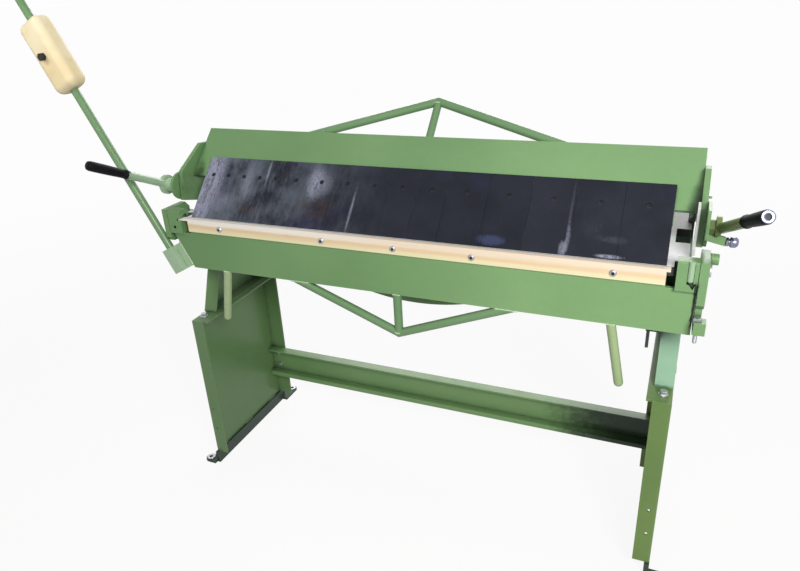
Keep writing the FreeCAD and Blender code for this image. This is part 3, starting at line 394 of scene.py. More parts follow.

# %% Thirteen greens
# the place along X of the dark line of painted shade beside the right hinge
HINGE_SHADE_LINE = 0.6705
LEAF_SHADE = ((-0.642, 0.880, 0.022, 0.060, 0.85), (0.654, 0.900, 0.020, 0.055, 0.60))
CHANNEL_SHADE = ((0.60, 0.180, 0.24, 0.20, 0.92),)
leaf_green = enamel("leaf_green", "88ac76", "719665", left_shade=0.6, hollow_shade=0.05, dim=0.6,
                    patches=LEAF_SHADE)
apron_green = enamel("apron_green", "8db17a", "769d68", left_shade=0.75, hinge_gap_shade=HINGE_SHADE_LINE)
ear_green = enamel("ear_green", "88ac76", "719665", left_shade=0.6, hollow_shade=0.018, dim=0.9,
                   hinge_gap_shade=HINGE_SHADE_LINE)
stand_green = enamel("stand_green", "6f8f5e", "5a7a4e", rub="9dbb8e", gloss=0.34, grime_and_shade_reach=0.03)
leg_green = enamel("leg_green", "75904f", "5f7b45", rub="a3b583", gloss=0.34, grime_and_shade_reach=0.03)
# painted light: a paler, mint copy of the frame green for the right upper frame, which takes more
# light
frame_green_lit = enamel("frame_green_lit", "a1c4a8", "88ae90", rub="cfe2d0", grime_and_shade_reach=0.03, hollow_shade=0.20)
frame_green = enamel("frame_green", "6f8f5e", "5a7a4e", rub="9dbb8e", gloss=0.34, grime_and_shade_reach=0.03,
                     hollow_shade=0.20)
channel_green = enamel("channel_green", "7a9c68", "668a58", rub="b4cba8", gloss=0.34, grime_and_shade_reach=0.02,
                       hollow_shade=0.10, dim=0.6, patches=CHANNEL_SHADE)
skid_green = enamel("skid_green", "35463a", "26332b", rub="6c8168", gloss=0.40, grime_and_shade_reach=0.03)
rod_green = enamel("rod_green", "7c9e72", "668a5e", rub="bfd3b0", gloss=0.24, peel_depth=0.03)
# painted light: a pale, lit copy of the green for the left arm, the stud and the socket
pale_lit_green = enamel("pale_lit_green", "b0c9a9", "96b591", rub="dbe7d5", gloss=0.26, peel_depth=0.03,
                    grime_and_shade_reach=0.02)
handle_green = enamel("handle_green", "a8bb8c", "92a978", rub="d5dfc0", gloss=0.24,
                      peel_depth=0.08)
# painted shade: an olive, shaded copy of the same green for the right arm
olive_shaded_green = enamel("olive_shaded_green", "7f8f55", "6a7d48", rub="a9b486", gloss=0.28, peel_depth=0.10)
print("thirteen greens, from", leaf_green.name, "to", olive_shaded_green.name)

# %% [markdown]
# ## Blued fingers
# The fingers are hardened tool steel, blackened and oiled. Each was cut and
# blued on its own, so each has its own tone: a white noise that changes only
# when the place along the machine crosses a joint gives every finger one
# number. Sliding sheets have scuffed them into lilac grey, most at the left end
# where the narrow ones are used, and their noses are worn bright.

# %% Finger steel
INCH = 0.0254
ROW_START, THREE_INCH_START, FOUR_INCH_START = -24 * INCH, -14 * INCH, 4 * INCH
RUBBED = ((-0.590, 0.912, 0.038, 0.070, 2.2), (-0.594, 0.845, 0.028, 0.056, 1.8),
          (-0.466, 0.905, 0.016, 0.050, 0.7), (-0.534, 0.860, 0.046, 0.022, 0.55),
          (-0.4085, 0.932, 0.004, 0.026, 1.0), (-0.262, 0.922, 0.022, 0.040, 0.7),
          (-0.244, 0.914, 0.036, 0.026, 0.8), (-0.137, 0.866, 0.0038, 0.046, 0.9),
          (0.399, 0.895, 0.0030, 0.060, 0.40), (0.403, 0.852, 0.0050, 0.026, 0.6),
          (0.394, 0.833, 0.008, 0.013, 1.1), (0.492, 0.8275, 0.026, 0.0030, 1.6),
          (0.499, 0.856, 0.030, 0.007, 0.32), (0.450, 0.872, 0.028, 0.022, 0.18))


def finger_steel(name, first_joint, width):
    steel = Finish(name)
    along, height = steel.axis(X), steel.axis(Z)
    count = steel.node("Math", {"operation": "FLOOR"}, {0: (along - first_joint) / width})
    own = steel.node("TexWhiteNoise", {"noise_dimensions": "1D"},
                     {"W": count * 7.31 + width * 900}, out=0)
    cloud = steel.noise(9.0, detail=5.0, rough=0.62)
    smear = steel.noise(30.0, detail=8.0, rough=0.78, stretch=(2.6, 0.6, 0.6))
    scratch = steel.noise(60.0, detail=3.0, rough=0.8, stretch=(9.0, 0.35, 0.35))
    grit = steel.noise(210.0, detail=5.0, rough=0.75, stretch=(1.6, 0.7, 0.7))
    tone = steel.mix(steel.step(cloud, 0.3, 0.7), tint("16181f"), tint("242730"))
    tone = steel.layer(tone, own * 0.45, "2e303a")
    worked = steel.step(along, 0.0, -0.50) * steel.step(cloud * 0.6 + smear * 0.4, 0.36, 0.62)
    tone = steel.layer(tone, worked * 0.90, "666d78")
    heat = steel.step(steel.noise(5.2, detail=3.0), 0.54, 0.66)
    tone = steel.layer(tone, heat * 0.25, "2f2d50")
    low_band = steel.step(height, 0.90, 0.858) * steel.step(height, 0.835, 0.852)
    low_left = low_band * steel.step(along, -0.1, -0.3)
    rust = steel.step(steel.noise(13.0, detail=5.0), 0.48, 0.66) * low_left
    tone = steel.layer(tone, rust * 0.40, "5f4a40")
    rub = steel.step(smear, 0.60, 0.84) * 0.25
    for x, z, wide, tall, much in RUBBED:
        away = ((along - x) / wide) ** 2 + ((height - z) / tall) ** 2
        rub = rub + steel.step(away + (smear - 0.5) * 3.5 + (grit - 0.5) * 5.0, 2.1, -0.3) * much
    streaks = 0.22 + 0.78 * steel.step(smear * 0.50 + grit * 0.50, 0.42, 0.58)
    rub = steel.step(rub, 0.05, 1.15) * streaks
    tone = steel.layer(tone, rub * 0.88, "a0a2b6")
    line = steel.step(scratch, 0.64, 0.82)
    tone = steel.layer(tone, line * 0.18, "8c8d9a")
    blue = steel.step(((along - 0.231) / 0.034) ** 2 + ((height - 0.836) / 0.010) ** 2
                      + (smear - 0.5) * 3, 1.3, 0.2)
    tone = steel.layer(tone, blue * 0.55, "454e70")
    edge = steel.edge(0.0010) * steel.step(steel.noise(24.0, detail=3.0), 0.46, 0.70)
    tone = steel.layer(tone, edge * 0.35, "a4a5b0")
    # painted shade: the gaps between fingers and beside them are made near black
    gap = steel.crease(0.008)
    tone = steel.layer(tone, gap * 0.95, "050609")
    rough = 0.50 + cloud * 0.14 - rub * 0.08 - edge * 0.08
    pits = steel.noise(800.0, detail=2.0)
    return steel.shader(Base_Color=tone, Metallic=rub * 0.25 + edge * 0.15, Roughness=rough,
                        Specular_IOR_Level=0.12,
                        Normal=steel.bump(pits * 0.4 - line, 0.0003, 0.30))


narrow_steel = finger_steel("narrow_finger_steel", ROW_START, 2 * INCH)
middle_steel = finger_steel("middle_finger_steel", THREE_INCH_START, 3 * INCH)
wide_steel = finger_steel("wide_finger_steel", FOUR_INCH_START, 4 * INCH)
print("three finger steels with", len(RUBBED), "rubbed places")

# %% [markdown]
# ## Ground steel, and the warm bar
# The bed and the wear strips were surface ground, which leaves fine straight
# lines along their length. The bed is bright at the front and grey and speckled
# further back; its sides, which don't look up or down, are made near black as
# painted shade, and its corners hold painted shade too. The bar on the apron's
# edge takes all the bending load: it is machined steel with a warm, straw
# coloured skin that runs in long bands, and by height its upper face is painted
# peach and its top edge a pale band, painted light and shade for how light falls
# on its faces. All three share one fine noise that is stretched eighty times
# along X, because a grain that isn't stretched reads as stone.

# %% Wear strips
def ground_lines(steel):
    """The fine straight lines of the grinding wheel."""
    return steel.noise(900.0, detail=3.0, stretch=(0.012, 1.0, 1.0))


def strip_surface():
    steel = Finish("strip_steel")
    fine = ground_lines(steel)
    bands = steel.noise(120.0, detail=4.0, rough=0.55, stretch=(0.020, 1.0, 1.0))
    stain = steel.noise(11.0, detail=5.0, rough=0.65)
    tone = steel.mix(steel.step(bands, 0.30, 0.70), tint("cfcfcd"), tint("e4e4e2"))
    tone = steel.layer(tone, steel.step(stain, 0.48, 0.72) * 0.15, "a39c90")
    tone = steel.layer(tone, fine * 0.35, "e6e3dc")
    tone = steel.layer(tone, steel.edge(0.0010) * 0.5, "f4f2ec")
    finish = 0.30 + fine * 0.12 + steel.step(stain, 0.5, 0.8) * 0.10
    return steel.shader(Base_Color=tone, Metallic=0.30, Roughness=finish,
                        Normal=steel.bump(fine + bands * 0.4, 0.00025, 0.30))


strip_steel = strip_surface()
print("wear strips")

# %% The bed
def bed_surface():
    """Bright at the front, grey and speckled further back, with painted shade on the sides and in
    corners.
    """
    steel = Finish("bed_steel")
    depth = steel.axis(Y)
    fine = ground_lines(steel)
    speck = steel.noise(420.0, detail=4.0, rough=0.75)
    stain = steel.noise(14.0, detail=5.0, rough=0.65)
    back = steel.step(depth + (stain - 0.5) * 0.08, 0.19, 0.25)
    tone = steel.mix(back, tint("f6f3f7"), tint("b3b2ae"))
    specks = steel.step(speck, 0.46, 0.64) * (0.10 + 0.50 * back)
    tone = steel.layer(tone, specks, "6f6e68")
    tone = steel.layer(tone, fine * 0.25, "dddbdc")
    tone = steel.layer(tone, steel.step(stain, 0.56, 0.72) * 0.35, "8e877c")
    # painted shade in corners and gaps
    tone = steel.layer(tone, steel.crease(0.02) * 0.7, "24211e")
    # painted shade: faces that don't look up or down are made near black
    level_face = steel.facing(Z)
    bed_side_shade = steel.step(level_face * level_face, 0.5, 0.2)
    tone = steel.layer(tone, bed_side_shade * 0.9, "1d1c1b")
    tone = steel.layer(tone, steel.edge(0.0010) * 0.5, "efedea")
    return steel.shader(Base_Color=tone, Metallic=0.0, Roughness=0.42 + speck * 0.15,
                        Specular_IOR_Level=0.2,
                        Normal=steel.bump(fine + speck * 0.5, 0.0002, 0.25))


bed_steel = bed_surface()
print("bed")

# %% The bar
def straw_steel():
    steel = Finish("bar_steel")
    along, height = steel.axis(X), steel.axis(Z)
    bands = steel.noise(150.0, detail=4.0, rough=0.6, stretch=(0.016, 1.0, 1.0))
    drift = steel.noise(6.0, detail=3.0)
    # painted light and shade by height: peach on the upper face, pale yellow below
    level_up = height + (bands - 0.5) * 0.012 + (drift - 0.5) * 0.008
    tone = steel.mix(steel.step(level_up, 0.793, 0.800), tint("ece1b6"), tint("e8cca4"))
    # painted highlight: a pale band along the top, strongest towards the left
    bar_top_highlight = steel.step(level_up, 0.804, 0.812) * (0.45 + 0.55 * steel.step(along, 0.1, -0.35))
    tone = steel.layer(tone, bar_top_highlight, "f5eee4")
    fine = ground_lines(steel)
    tone = steel.layer(tone, steel.step(fine, 0.5, 0.8) * 0.5, "f3e9d2")
    stain = steel.noise(40.0, detail=5.0, rough=0.7, stretch=(0.3, 1, 1))
    tone = steel.layer(tone, steel.step(stain, 0.58, 0.76) * 0.25, "b79f80")
    # painted shade in the creases
    tone = steel.layer(tone, steel.crease(0.003) * 0.4, "6a5a48")
    tone = steel.layer(tone, steel.edge(0.0010) * 0.6, "fbf6ec")
    return steel.shader(Base_Color=tone, Metallic=0.0, Roughness=0.44 + fine * 0.10,
                        Specular_IOR_Level=0.3,
                        Normal=steel.bump(fine + bands * 0.4, 0.0002, 0.25))


bar_steel = straw_steel()
print("bar")

# %% [markdown]
# ## Cast weight, fasteners, grips and plating
# The counterweight is a casting with a thick cream coat that lies over pits,
# and its rounded corners are painted peach as painted shade. Bolts are zinc
# plated and get their life from patchy roughness. The grips are black vinyl with
# a faint bloom. The plated knob and cap are nearly mirrors, so their dirt has to
# come from roughness too.

# %% Cream coat and plating
def cast_coat():
    coat = Finish("cream_coat")
    lumps = coat.noise(60.0, detail=4.0, rough=0.6)
    soft = coat.noise(12.0, detail=3.0)
    tone = coat.mix(coat.step(soft, 0.35, 0.65), tint("f0dcae"), tint("f7e9c4"))
    # painted shade: the rounded corners are painted peach
    tone = coat.layer(tone, coat.edge(0.014) * 0.9, "ebc596")
    pit = coat.step(coat.noise(150.0, detail=2.0), 0.66, 0.74)
    tone = coat.layer(tone, pit * 0.15, "b4945c")
    grime_and_shade = coat.step(coat.noise(22.0, detail=5.0), 0.56, 0.78)
    tone = coat.layer(tone, grime_and_shade * 0.18, "a78e62")
    return coat.shader(Base_Color=tone, Roughness=0.46 + lumps * 0.18, Specular_IOR_Level=0.3,
                       Coat_Weight=0.06, Coat_Roughness=0.3, Normal=coat.bump(lumps, 0.0006, 0.30))


def plated(name, light, dark, rough, metal=0.9, worn="eceef0"):
    plate = Finish(name)
    patch = plate.noise(180.0, detail=4.0, rough=0.6)
    tone = plate.mix(patch, tint(dark), tint(light))
    tone = plate.layer(tone, plate.edge(0.0008) * 0.5, worn)
    lathe = plate.noise(1400.0, detail=2.0)
    return plate.shader(Base_Color=tone, Metallic=metal, Roughness=rough + patch * 0.16,
                        Normal=plate.bump(lathe, 0.0001, 0.25))


cream_coat = cast_coat()
zinc = plated("zinc_bolt", "dcdee3", "a9abb1", 0.26)
dull_zinc = plated("dull_bolt", "d2d4d8", "6c6e73", 0.30, worn="dfe1e4")
black_oxide_and_hole_shade = plated("dark_bolt", "15161a", "08090b", 0.50, metal=0.0, worn="2c2d33")
bright_plate = plated("bright_plate", "a3a5ba", "5c5f76", 0.14, metal=1.0, worn="c4c6d6")
print("one casting and four platings")

# %% Vinyl and dark iron
def vinyl():
    skin = Finish("grip_vinyl")
    pebble = skin.noise(900.0, detail=2.0)
    bloom = skin.step(skin.noise(30.0, detail=4.0), 0.46, 0.72)
    tone = skin.mix(bloom * 0.5, tint("0d0d11"), tint("211f29"))
    tone = skin.layer(tone, skin.edge(0.002) * 0.3, "55545e")
    return skin.shader(Base_Color=tone, Roughness=0.48 + bloom * 0.16, Specular_IOR_Level=0.10,
                       Normal=skin.bump(pebble, 0.0003, 0.4))


def dark_fitting():
    iron = Finish("dark_fitting")
    patch = iron.noise(60.0, detail=4.0)
    tone = iron.mix(patch, tint("222a27"), tint("3a4540"))
    tone = iron.layer(tone, iron.edge(0.0012) * 0.4, "7d857f")
    return iron.shader(Base_Color=tone, Metallic=0.25, Roughness=0.38 + patch * 0.2,
                       Normal=iron.bump(patch, 0.0004, 0.3))


grip_vinyl = vinyl()
dark_iron = dark_fitting()
print("grips and dark fittings")

# %% [markdown]
# ## Rounding what CAD left sharp
# A CAD node is kept as it is, so we work on a copy of its mesh. The copy comes
# as loose triangles: its doubles are merged and its flat faces are joined
# again, which leaves the real edges. Sheet metal turns its corners on a press,
# with a radius of about its own thickness, and everything else has had its
# edges broken by about half a millimetre. Faces and edges are picked in code,
# by where they lie. The copy then rides on the same body and stands in for the
# node. The widths of broken edges have a shop's names, from a faint wipe with a
# stone to a corner that years of hands have worn.

# %% Picking and rounding
SAME_POINT, SAME_PLANE, SMOOTH_BELOW = 0.00001, 0.5, 32
FAINT, DEBURRED, FILED, GROUND, DRESSED, WORN = 0.0005, 0.0006, 0.0008, 0.0010, 0.0012, 0.0014
SHEET_FOLD, LEG_FOLD = 0.005, 0.006


def only(*objects):
    """Deselect everything, then select these and make the first one active."""
    bpy.ops.object.select_all(action="DESELECT")
    for thing in objects:
        thing.select_set(True)
    if objects:
        bpy.context.view_layer.objects.active = objects[0]


def open_mesh():
    """Open the active piece for editing, with all of it selected."""
    bpy.ops.object.mode_set(mode="EDIT")
    bpy.ops.mesh.select_all(action="SELECT")


def pick_edges(piece, wanted):
    """In edit mode, select the edges for which wanted(end, other end) is true."""
    bpy.ops.mesh.select_mode(type="EDGE")
    bpy.ops.mesh.select_all(action="DESELECT")
    cage = bmesh.from_edit_mesh(piece.data)
    found = [edge for edge in cage.edges if wanted(edge.verts[0].co, edge.verts[1].co)]
    for edge in found:
        edge.select_set(True)
    bmesh.update_edit_mesh(piece.data)
    return len(found)


def settle(piece, body, finish):
    """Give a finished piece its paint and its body."""
    piece.data.materials.clear()
    piece.data.materials.append(finish)
    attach(piece, body)


def break_edges(piece, width, angle=35, segments=3):
    """Round off every edge that turns by more than angle."""
    only(piece)
    edges = piece.modifiers.new("broken_edges", "BEVEL")
    edges.width = width
    edges.segments = segments
    edges.angle_limit = math.radians(angle)
    edges.harden_normals = True
    bpy.ops.object.shade_smooth_by_angle(angle=math.radians(SMOOTH_BELOW))
    bpy.ops.object.modifier_apply(modifier="broken_edges")


BODIES = frame["record"]["behaviour"]["bodies"]
BODY_OF = {node: body for body, nodes in BODIES.items() for node in nodes}


def rounded(node, finish, width, fold=None, radius=None):
    """A copy of a CAD node with its folds turned and its edges broken."""
    source = frame["nodes"][node]
    piece = placed(node + "_finished", source.data.copy())
    only(piece)
    open_mesh()
    bpy.ops.mesh.customdata_custom_splitnormals_clear()
    bpy.ops.mesh.remove_doubles(threshold=SAME_POINT)
    bpy.ops.mesh.dissolve_limited(angle_limit=math.radians(SAME_PLANE))
    if fold and pick_edges(piece, fold):
        bpy.ops.mesh.bevel(offset=radius, segments=5, affect="EDGES")
    bpy.ops.object.mode_set(mode="OBJECT")
    break_edges(piece, width)
    settle(piece, BODY_OF[node], finish)
    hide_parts(node)


def dress(finish, width, *nodes):
    """Round several nodes that share a finish and an edge."""
    for node in nodes:
        rounded(node, finish, width)


print("helpers for", len(BODY_OF), "nodes")

# %% [markdown]
# ## The stand
# Each leg is one folded sheet: a side with flanges turned inwards at the front,
# the rear and the top. The fold runs where two outer faces of the box of the
# leg meet, so an edge belongs to a fold when both its ends lie on the leg's
# outer side and on its front, rear or top. The channel between the legs is
# folded in the same way, and the frames above them carry the bed.

# %% Legs, channel and upper frames
NEAR_ENOUGH, SHORTEST_LEG_FOLD, SHORTEST_FRAME_FOLD, SHORTEST_CHANNEL_FOLD = 0.0002, 0.05, 0.1, 0.5
LIP_TOP, LIP_FOOT = 0.05, 0.005


def both_at(first, second, target):
    return abs(first - target) < NEAR_ENOUGH and abs(second - target) < NEAR_ENOUGH


def leg_fold(node, side):
    low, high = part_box(node)
    outer = low.x if side < 0 else high.x

    def is_fold(a, b):
        turned_in = (both_at(a.y, b.y, low.y) or both_at(a.y, b.y, high.y)
                     or both_at(a.z, b.z, high.z))
        return (a - b).length >= SHORTEST_LEG_FOLD and both_at(a.x, b.x, outer) and turned_in
    return is_fold


def frame_fold(node, side):
    low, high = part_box(node)
    outer = low.x if side < 0 else high.x

    def is_fold(a, b):
        return abs(a.z - b.z) > SHORTEST_FRAME_FOLD and both_at(a.x, b.x, outer)
    return is_fold


def channel_fold(a, b):
    low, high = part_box("stretcher")
    in_web = max(a.z, b.z) < high.z - LIP_TOP and min(a.z, b.z) > low.z + LIP_FOOT
    front = both_at(a.y, b.y, low.y) and in_web
    return (a - b).length >= SHORTEST_CHANNEL_FOLD and (both_at(a.y, b.y, high.y) or front)


for side, word, leg_paint, frame_paint in ((-1, "left", stand_green, frame_green),
                                           (1, "right", leg_green, frame_green_lit)):
    leg, upper = "leg_" + word, "upper_frame_" + word
    rounded(leg, leg_paint, DEBURRED, fold=leg_fold(leg, side), radius=LEG_FOLD)
    rounded(upper, frame_paint, DEBURRED, fold=frame_fold(upper, side), radius=SHEET_FOLD)
    dress(skid_green, FILED, "foot_" + word)
rounded("stretcher", channel_green, DEBURRED, fold=channel_fold, radius=SHEET_FOLD)
print("stand: seven folded or cut pieces")

# %% [markdown]
# ## The bed, its beams and the hinge cheeks
# The bed is a thick ground plate, so its edges are only just broken. Beams and
# cheeks are cut from heavier plate, whose torch cut edges are dressed with a
# grinder, and that takes more off.

# %% Bed and cheeks
dress(bed_steel, FAINT, "bed_plate")
dress(frame_green, GROUND, "bed_front_beam", "bed_rear_beam", "bed_belly_plate")
dress(ear_green, WORN, "hinge_cheek_left", "hinge_cheek_right")
dress(leaf_green, DRESSED, "cheek_boss")
dress(dark_iron, FILED, "rest_bracket", "rest_lever")
print("bed and cheeks")

# %% [markdown]
# ## The apron
# The apron is the plate that swings up and folds the sheet. Its bar, ears, rib,
# truss and handles were welded or screwed to it. The ears are the most handled
# corners of the machine, so they are rounded more than the plate.

# %% Apron pieces
ROD_END = 0.0015
dress(apron_green, FILED, "apron_plate", "apron_rib")
dress(bar_steel, DEBURRED, "bend_bar")
dress(ear_green, DRESSED, "apron_ear_left", "apron_ear_right")
dress(pale_lit_green, DEBURRED, "apron_ear_stud")
dress(rod_green, GROUND, "lower_truss_bars", "lower_truss_strut")
dress(handle_green, WORN, "apron_handles")
dress(pale_lit_green, DRESSED, "counterweight_socket")
dress(rod_green, ROD_END, "counterweight_rod")
dress(cream_coat, GROUND, "counterweight")
print("apron and counterweight")

# %% [markdown]
# ## The leaf and its fingers
# The leaf clamps the sheet through the row of fingers. Fingers are finished one
# by one in a real shop, and the dark line between two of them is the gap with
# the two broken edges beside it, so their edges are broken by most of a
# millimetre.

# %% Leaf, truss and fingers
dress(leaf_green, FILED, "leaf_plate", "leaf_rib")
dress(leaf_green, DRESSED, "leaf_end_left", "leaf_end_right")
dress(strip_steel, DEBURRED, "leaf_wear_strip")
dress(rod_green, GROUND, "upper_truss_bars", "upper_truss_strut", "upper_truss_anchors")
dress(narrow_steel, FILED, "fingers_two_inch")
dress(middle_steel, FILED, "fingers_three_inch")
dress(wide_steel, FILED, "fingers_four_inch")
print("leaf, truss and sixteen fingers")

# %% [markdown]
# ## The clamps
# A handle at each end turns on a pin in the leaf. Its hub and flange are turned
# on a lathe, and its arm is bar stock.

# %% Clamp pieces
dress(leaf_green, GROUND, "clamp_discs", "clamp_fork")
dress(zinc, DEBURRED, "clamp_pins")
dress(pale_lit_green, DRESSED, "clamp_arm_left")
dress(olive_shaded_green, DRESSED, "clamp_arm_right")
print("clamps")

# %% [markdown]
# ## Fasteners
# Bolts, washers and pins come from a box, so they get one finish and one faint
# edge. The screws of the fingers and of the counterweight are black oxide.

# %% Bolts, washers and pins
dress(zinc, DEBURRED, "anchor_washers", "stretcher_bolts", "ledge_bolts", "leaf_end_bolts",
      "leaf_pivot_pins", "hinge_pins")
dress(black_oxide_and_hole_shade, FAINT, "finger_bolts", "counterweight_screw")
print("fasteners")

# %% [markdown]
# ## Pieces from the lathe
# Grips, knob and cap are round, so they are drawn the way a lathe cuts them: a
# disc of one radius is pushed along its axis step by step, and at each step it
# is made wider or narrower. The profile is a list of (distance, radius). Once
# the edges are broken, the piece is laid between its two real end points and
# its place is written into its mesh.

# %% Turning
def laid(piece, foot, head):
    """Turn a piece that was made along Z so that it runs from foot to head."""
    piece.rotation_mode = "QUATERNION"
    piece.rotation_quaternion = (Vector(head) - Vector(foot)).to_track_quat("Z", "Y")
    piece.location = foot
    only(piece)
    bpy.ops.object.transform_apply(location=True, rotation=True, scale=True)
    return piece


def turned(name, profile, sides=40, soft=0.0005):
    """A round piece along Z from its profile of (distance, radius)."""
    only()
    bpy.ops.mesh.primitive_circle_add(vertices=sides, radius=profile[0][1], fill_type="NGON")
    piece = bpy.context.object
    piece.name = name
    open_mesh()
    bpy.ops.transform.translate(value=(0, 0, profile[0][0]))
    for (here, radius), (there, next_radius) in zip(profile, profile[1:]):
        grow = next_radius / radius
        bpy.ops.mesh.extrude_region_move(TRANSFORM_OT_translate={"value": (0, 0, there - here)})
        bpy.ops.transform.resize(value=(grow, grow, 1))
    bpy.ops.mesh.select_all(action="SELECT")
    bpy.ops.mesh.normals_make_consistent(inside=False)
    bpy.ops.object.mode_set(mode="OBJECT")
    break_edges(piece, soft, angle=40, segments=2)
    return piece


BEND_LINE_Y, BEND_LINE_Z = 31, 822


def part_point(x, y, z):
    """A point in millimetres from the bend line, in the frame's metres."""
    return Vector((x / 1000, (y + BEND_LINE_Y) / 1000, (z + BEND_LINE_Z) / 1000))


print("the bend line is at", tuple(round(v, 3) for v in part_point(0, 0, 0)))

# %% [markdown]
# The two grips are vinyl, pushed over the bent handles. Vinyl is moulded, so
# the mouth has a collar, the body swells a little in the palm, and the far end
# of the left one is a dome. The right grip wears a plated cap whose hole is
# painted dark, as painted shade.

# %% Grips
GRIP_LEFT = (part_point(-727.7, -70.4, 130.5), part_point(-759.6, -167.9, 180.0))
GRIP_RIGHT = (part_point(732.0, -84.0, 136.0), part_point(756.0, -168.0, 175.5))


def grip(name, ends, node, body, domed):
    length = (ends[1] - ends[0]).length
    profile = [(0.0036, 0.0098), (0.0038, 0.0118), (0.0052, 0.0129), (0.0095, 0.0129),
               (0.0112, 0.0119), (0.022, 0.0116), (0.040, 0.0122), (0.060, 0.0127)]
    dome = [(0.020, 0.0129), (0.008, 0.0126), (0.003, 0.0108), (0.0008, 0.0078), (0.0001, 0.0040)]
    flat = [(0.020, 0.0129), (0.003, 0.0129), (0.0006, 0.0122)]
    profile += [(length - short, radius) for short, radius in (dome if domed else flat)]
    piece = laid(turned(name, profile, sides=48), *ends)
    settle(piece, body, grip_vinyl)
    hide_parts(node)


grip("left_grip", GRIP_LEFT, "clamp_grip_left", "clamp_left", domed=True)
grip("right_grip", GRIP_RIGHT, "clamp_grip_right", "clamp_right", domed=False)
print("grips of", [round((b - a).length * 1000) for a, b in (GRIP_LEFT, GRIP_RIGHT)], "mm")

# %% Cap on the right grip
HOLE_RADIUS, HOLE_FOOT, CAP_GAP, CAP_HEIGHT = 0.0050, 0.0004, 0.0001, 0.004
cap = turned("grip_cap", [(0.0, 0.0108), (0.0004, 0.0116), (0.0026, 0.0117), (0.0036, 0.0110),
                          (CAP_HEIGHT, 0.0096), (0.0038, 0.0066), (0.0032, HOLE_RADIUS),
                          (0.0010, 0.0047)], sides=48, soft=0.0003)
cap.data.materials.append(bright_plate)
cap.data.materials.append(black_oxide_and_hole_shade)
# painted shade: the faces in the hole get the dark finish
for face in cap.data.polygons:
    in_hole = face.center.xy.length < HOLE_RADIUS and face.center.z > HOLE_FOOT
    face.material_index = int(in_hole)
along_grip = (GRIP_RIGHT[1] - GRIP_RIGHT[0]).normalized()
laid(cap, GRIP_RIGHT[1] + along_grip * CAP_GAP, GRIP_RIGHT[1] + along_grip * CAP_HEIGHT)
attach(cap, "clamp_right")
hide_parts("clamp_cap_right")
print("cap of", len(cap.data.polygons), "faces")

# %% Knob on the fork
KNOB_FOOT, KNOB_HEAD = part_point(711.2, 8, 62), part_point(735, 8, 62)
knob = turned("fork_knob", [(0.0, 0.0070), (0.0008, 0.0088), (0.0045, 0.0092), (0.0052, 0.0080),
                            (0.0070, 0.0080), (0.0082, 0.0104), (0.0100, 0.0109), (0.0165, 0.0109),
                            (0.0190, 0.0100), (0.0215, 0.0078), (0.0230, 0.0045)], sides=48)
laid(knob, KNOB_FOOT, KNOB_HEAD)
settle(knob, BODY_OF["clamp_knob"], bright_plate)
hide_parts("clamp_knob")
print("knob is", round(max(v.co.x for v in knob.data.vertices), 4), "m out")

# %% [markdown]
# ## Screws in the bar
# Five screws hold the bar to the apron. Each has a domed head with a six sided
# socket. The dome is turned, the socket is a six sided prism that a Boolean
# takes away, and the faces inside it get a dark finish because no light reaches
# them. One screw is made, and the other four are copies with meshes of their
# own.

# %% One socket screw
SOCKET_RADIUS, SOCKET_DEPTH, SOCKET_MIDDLE = 0.0040, 0.004, 0.0036
first = turned("bar_screw_1", [(0.0, 0.0078), (0.0011, 0.0079), (0.0024, 0.0071),
                               (0.0034, 0.0056), (0.0039, 0.0042)], sides=36, soft=0.0003)
only()
bpy.ops.mesh.primitive_cylinder_add(vertices=6, radius=SOCKET_RADIUS, depth=SOCKET_DEPTH,
                                    location=(0, 0, SOCKET_MIDDLE))
prism = bpy.context.object
only(first)
socket = first.modifiers.new("socket", "BOOLEAN")
socket.operation, socket.object, socket.solver = "DIFFERENCE", prism, "EXACT"
bpy.ops.object.modifier_apply(modifier="socket")
bpy.data.objects.remove(prism)
WALL_REACH, WALL_TOP, FLOOR_REACH, FLOOR_TOP, UPWARDS = 0.0041, 0.0037, 0.0020, 0.0019, 0.99
first.data.materials.clear()
first.data.materials.append(dull_zinc)
first.data.materials.append(black_oxide_and_hole_shade)
for face in first.data.polygons:
    reach, height = face.center.xy.length, face.center.z
    wall = reach < WALL_REACH and height < WALL_TOP and face.normal.z < UPWARDS
    bottom = reach < FLOOR_REACH and height < FLOOR_TOP
    face.material_index = int(wall or bottom)
print("one screw of", len(first.data.polygons), "faces")

# %% Five screws in the bar
SCREW_SPOTS, SCREW_FOOT, SCREW_HEAD, SCREW_LEVEL = (-507, -196, 0, 196, 507), -15.25, -20, -21
heads = [first]
for number in range(2, len(SCREW_SPOTS) + 1):
    heads.append(placed("bar_screw_" + str(number), first.data.copy()))
for x, head in zip(SCREW_SPOTS, heads):
    laid(head, part_point(x, SCREW_FOOT, SCREW_LEVEL), part_point(x, SCREW_HEAD, SCREW_LEVEL))
    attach(head, "apron")
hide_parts("bend_bar_screws")
print(len(heads), "screws")

# %% [markdown]
# ## The adjusting screw
# This screw sets how far the hinge sits from the leaf, and its thread can be
# seen under the lug. A thread is one small V that is turned about the axis
# while it climbs by its pitch, which is just what the Screw modifier does. A
# four sided circle with one corner taken away is that V.

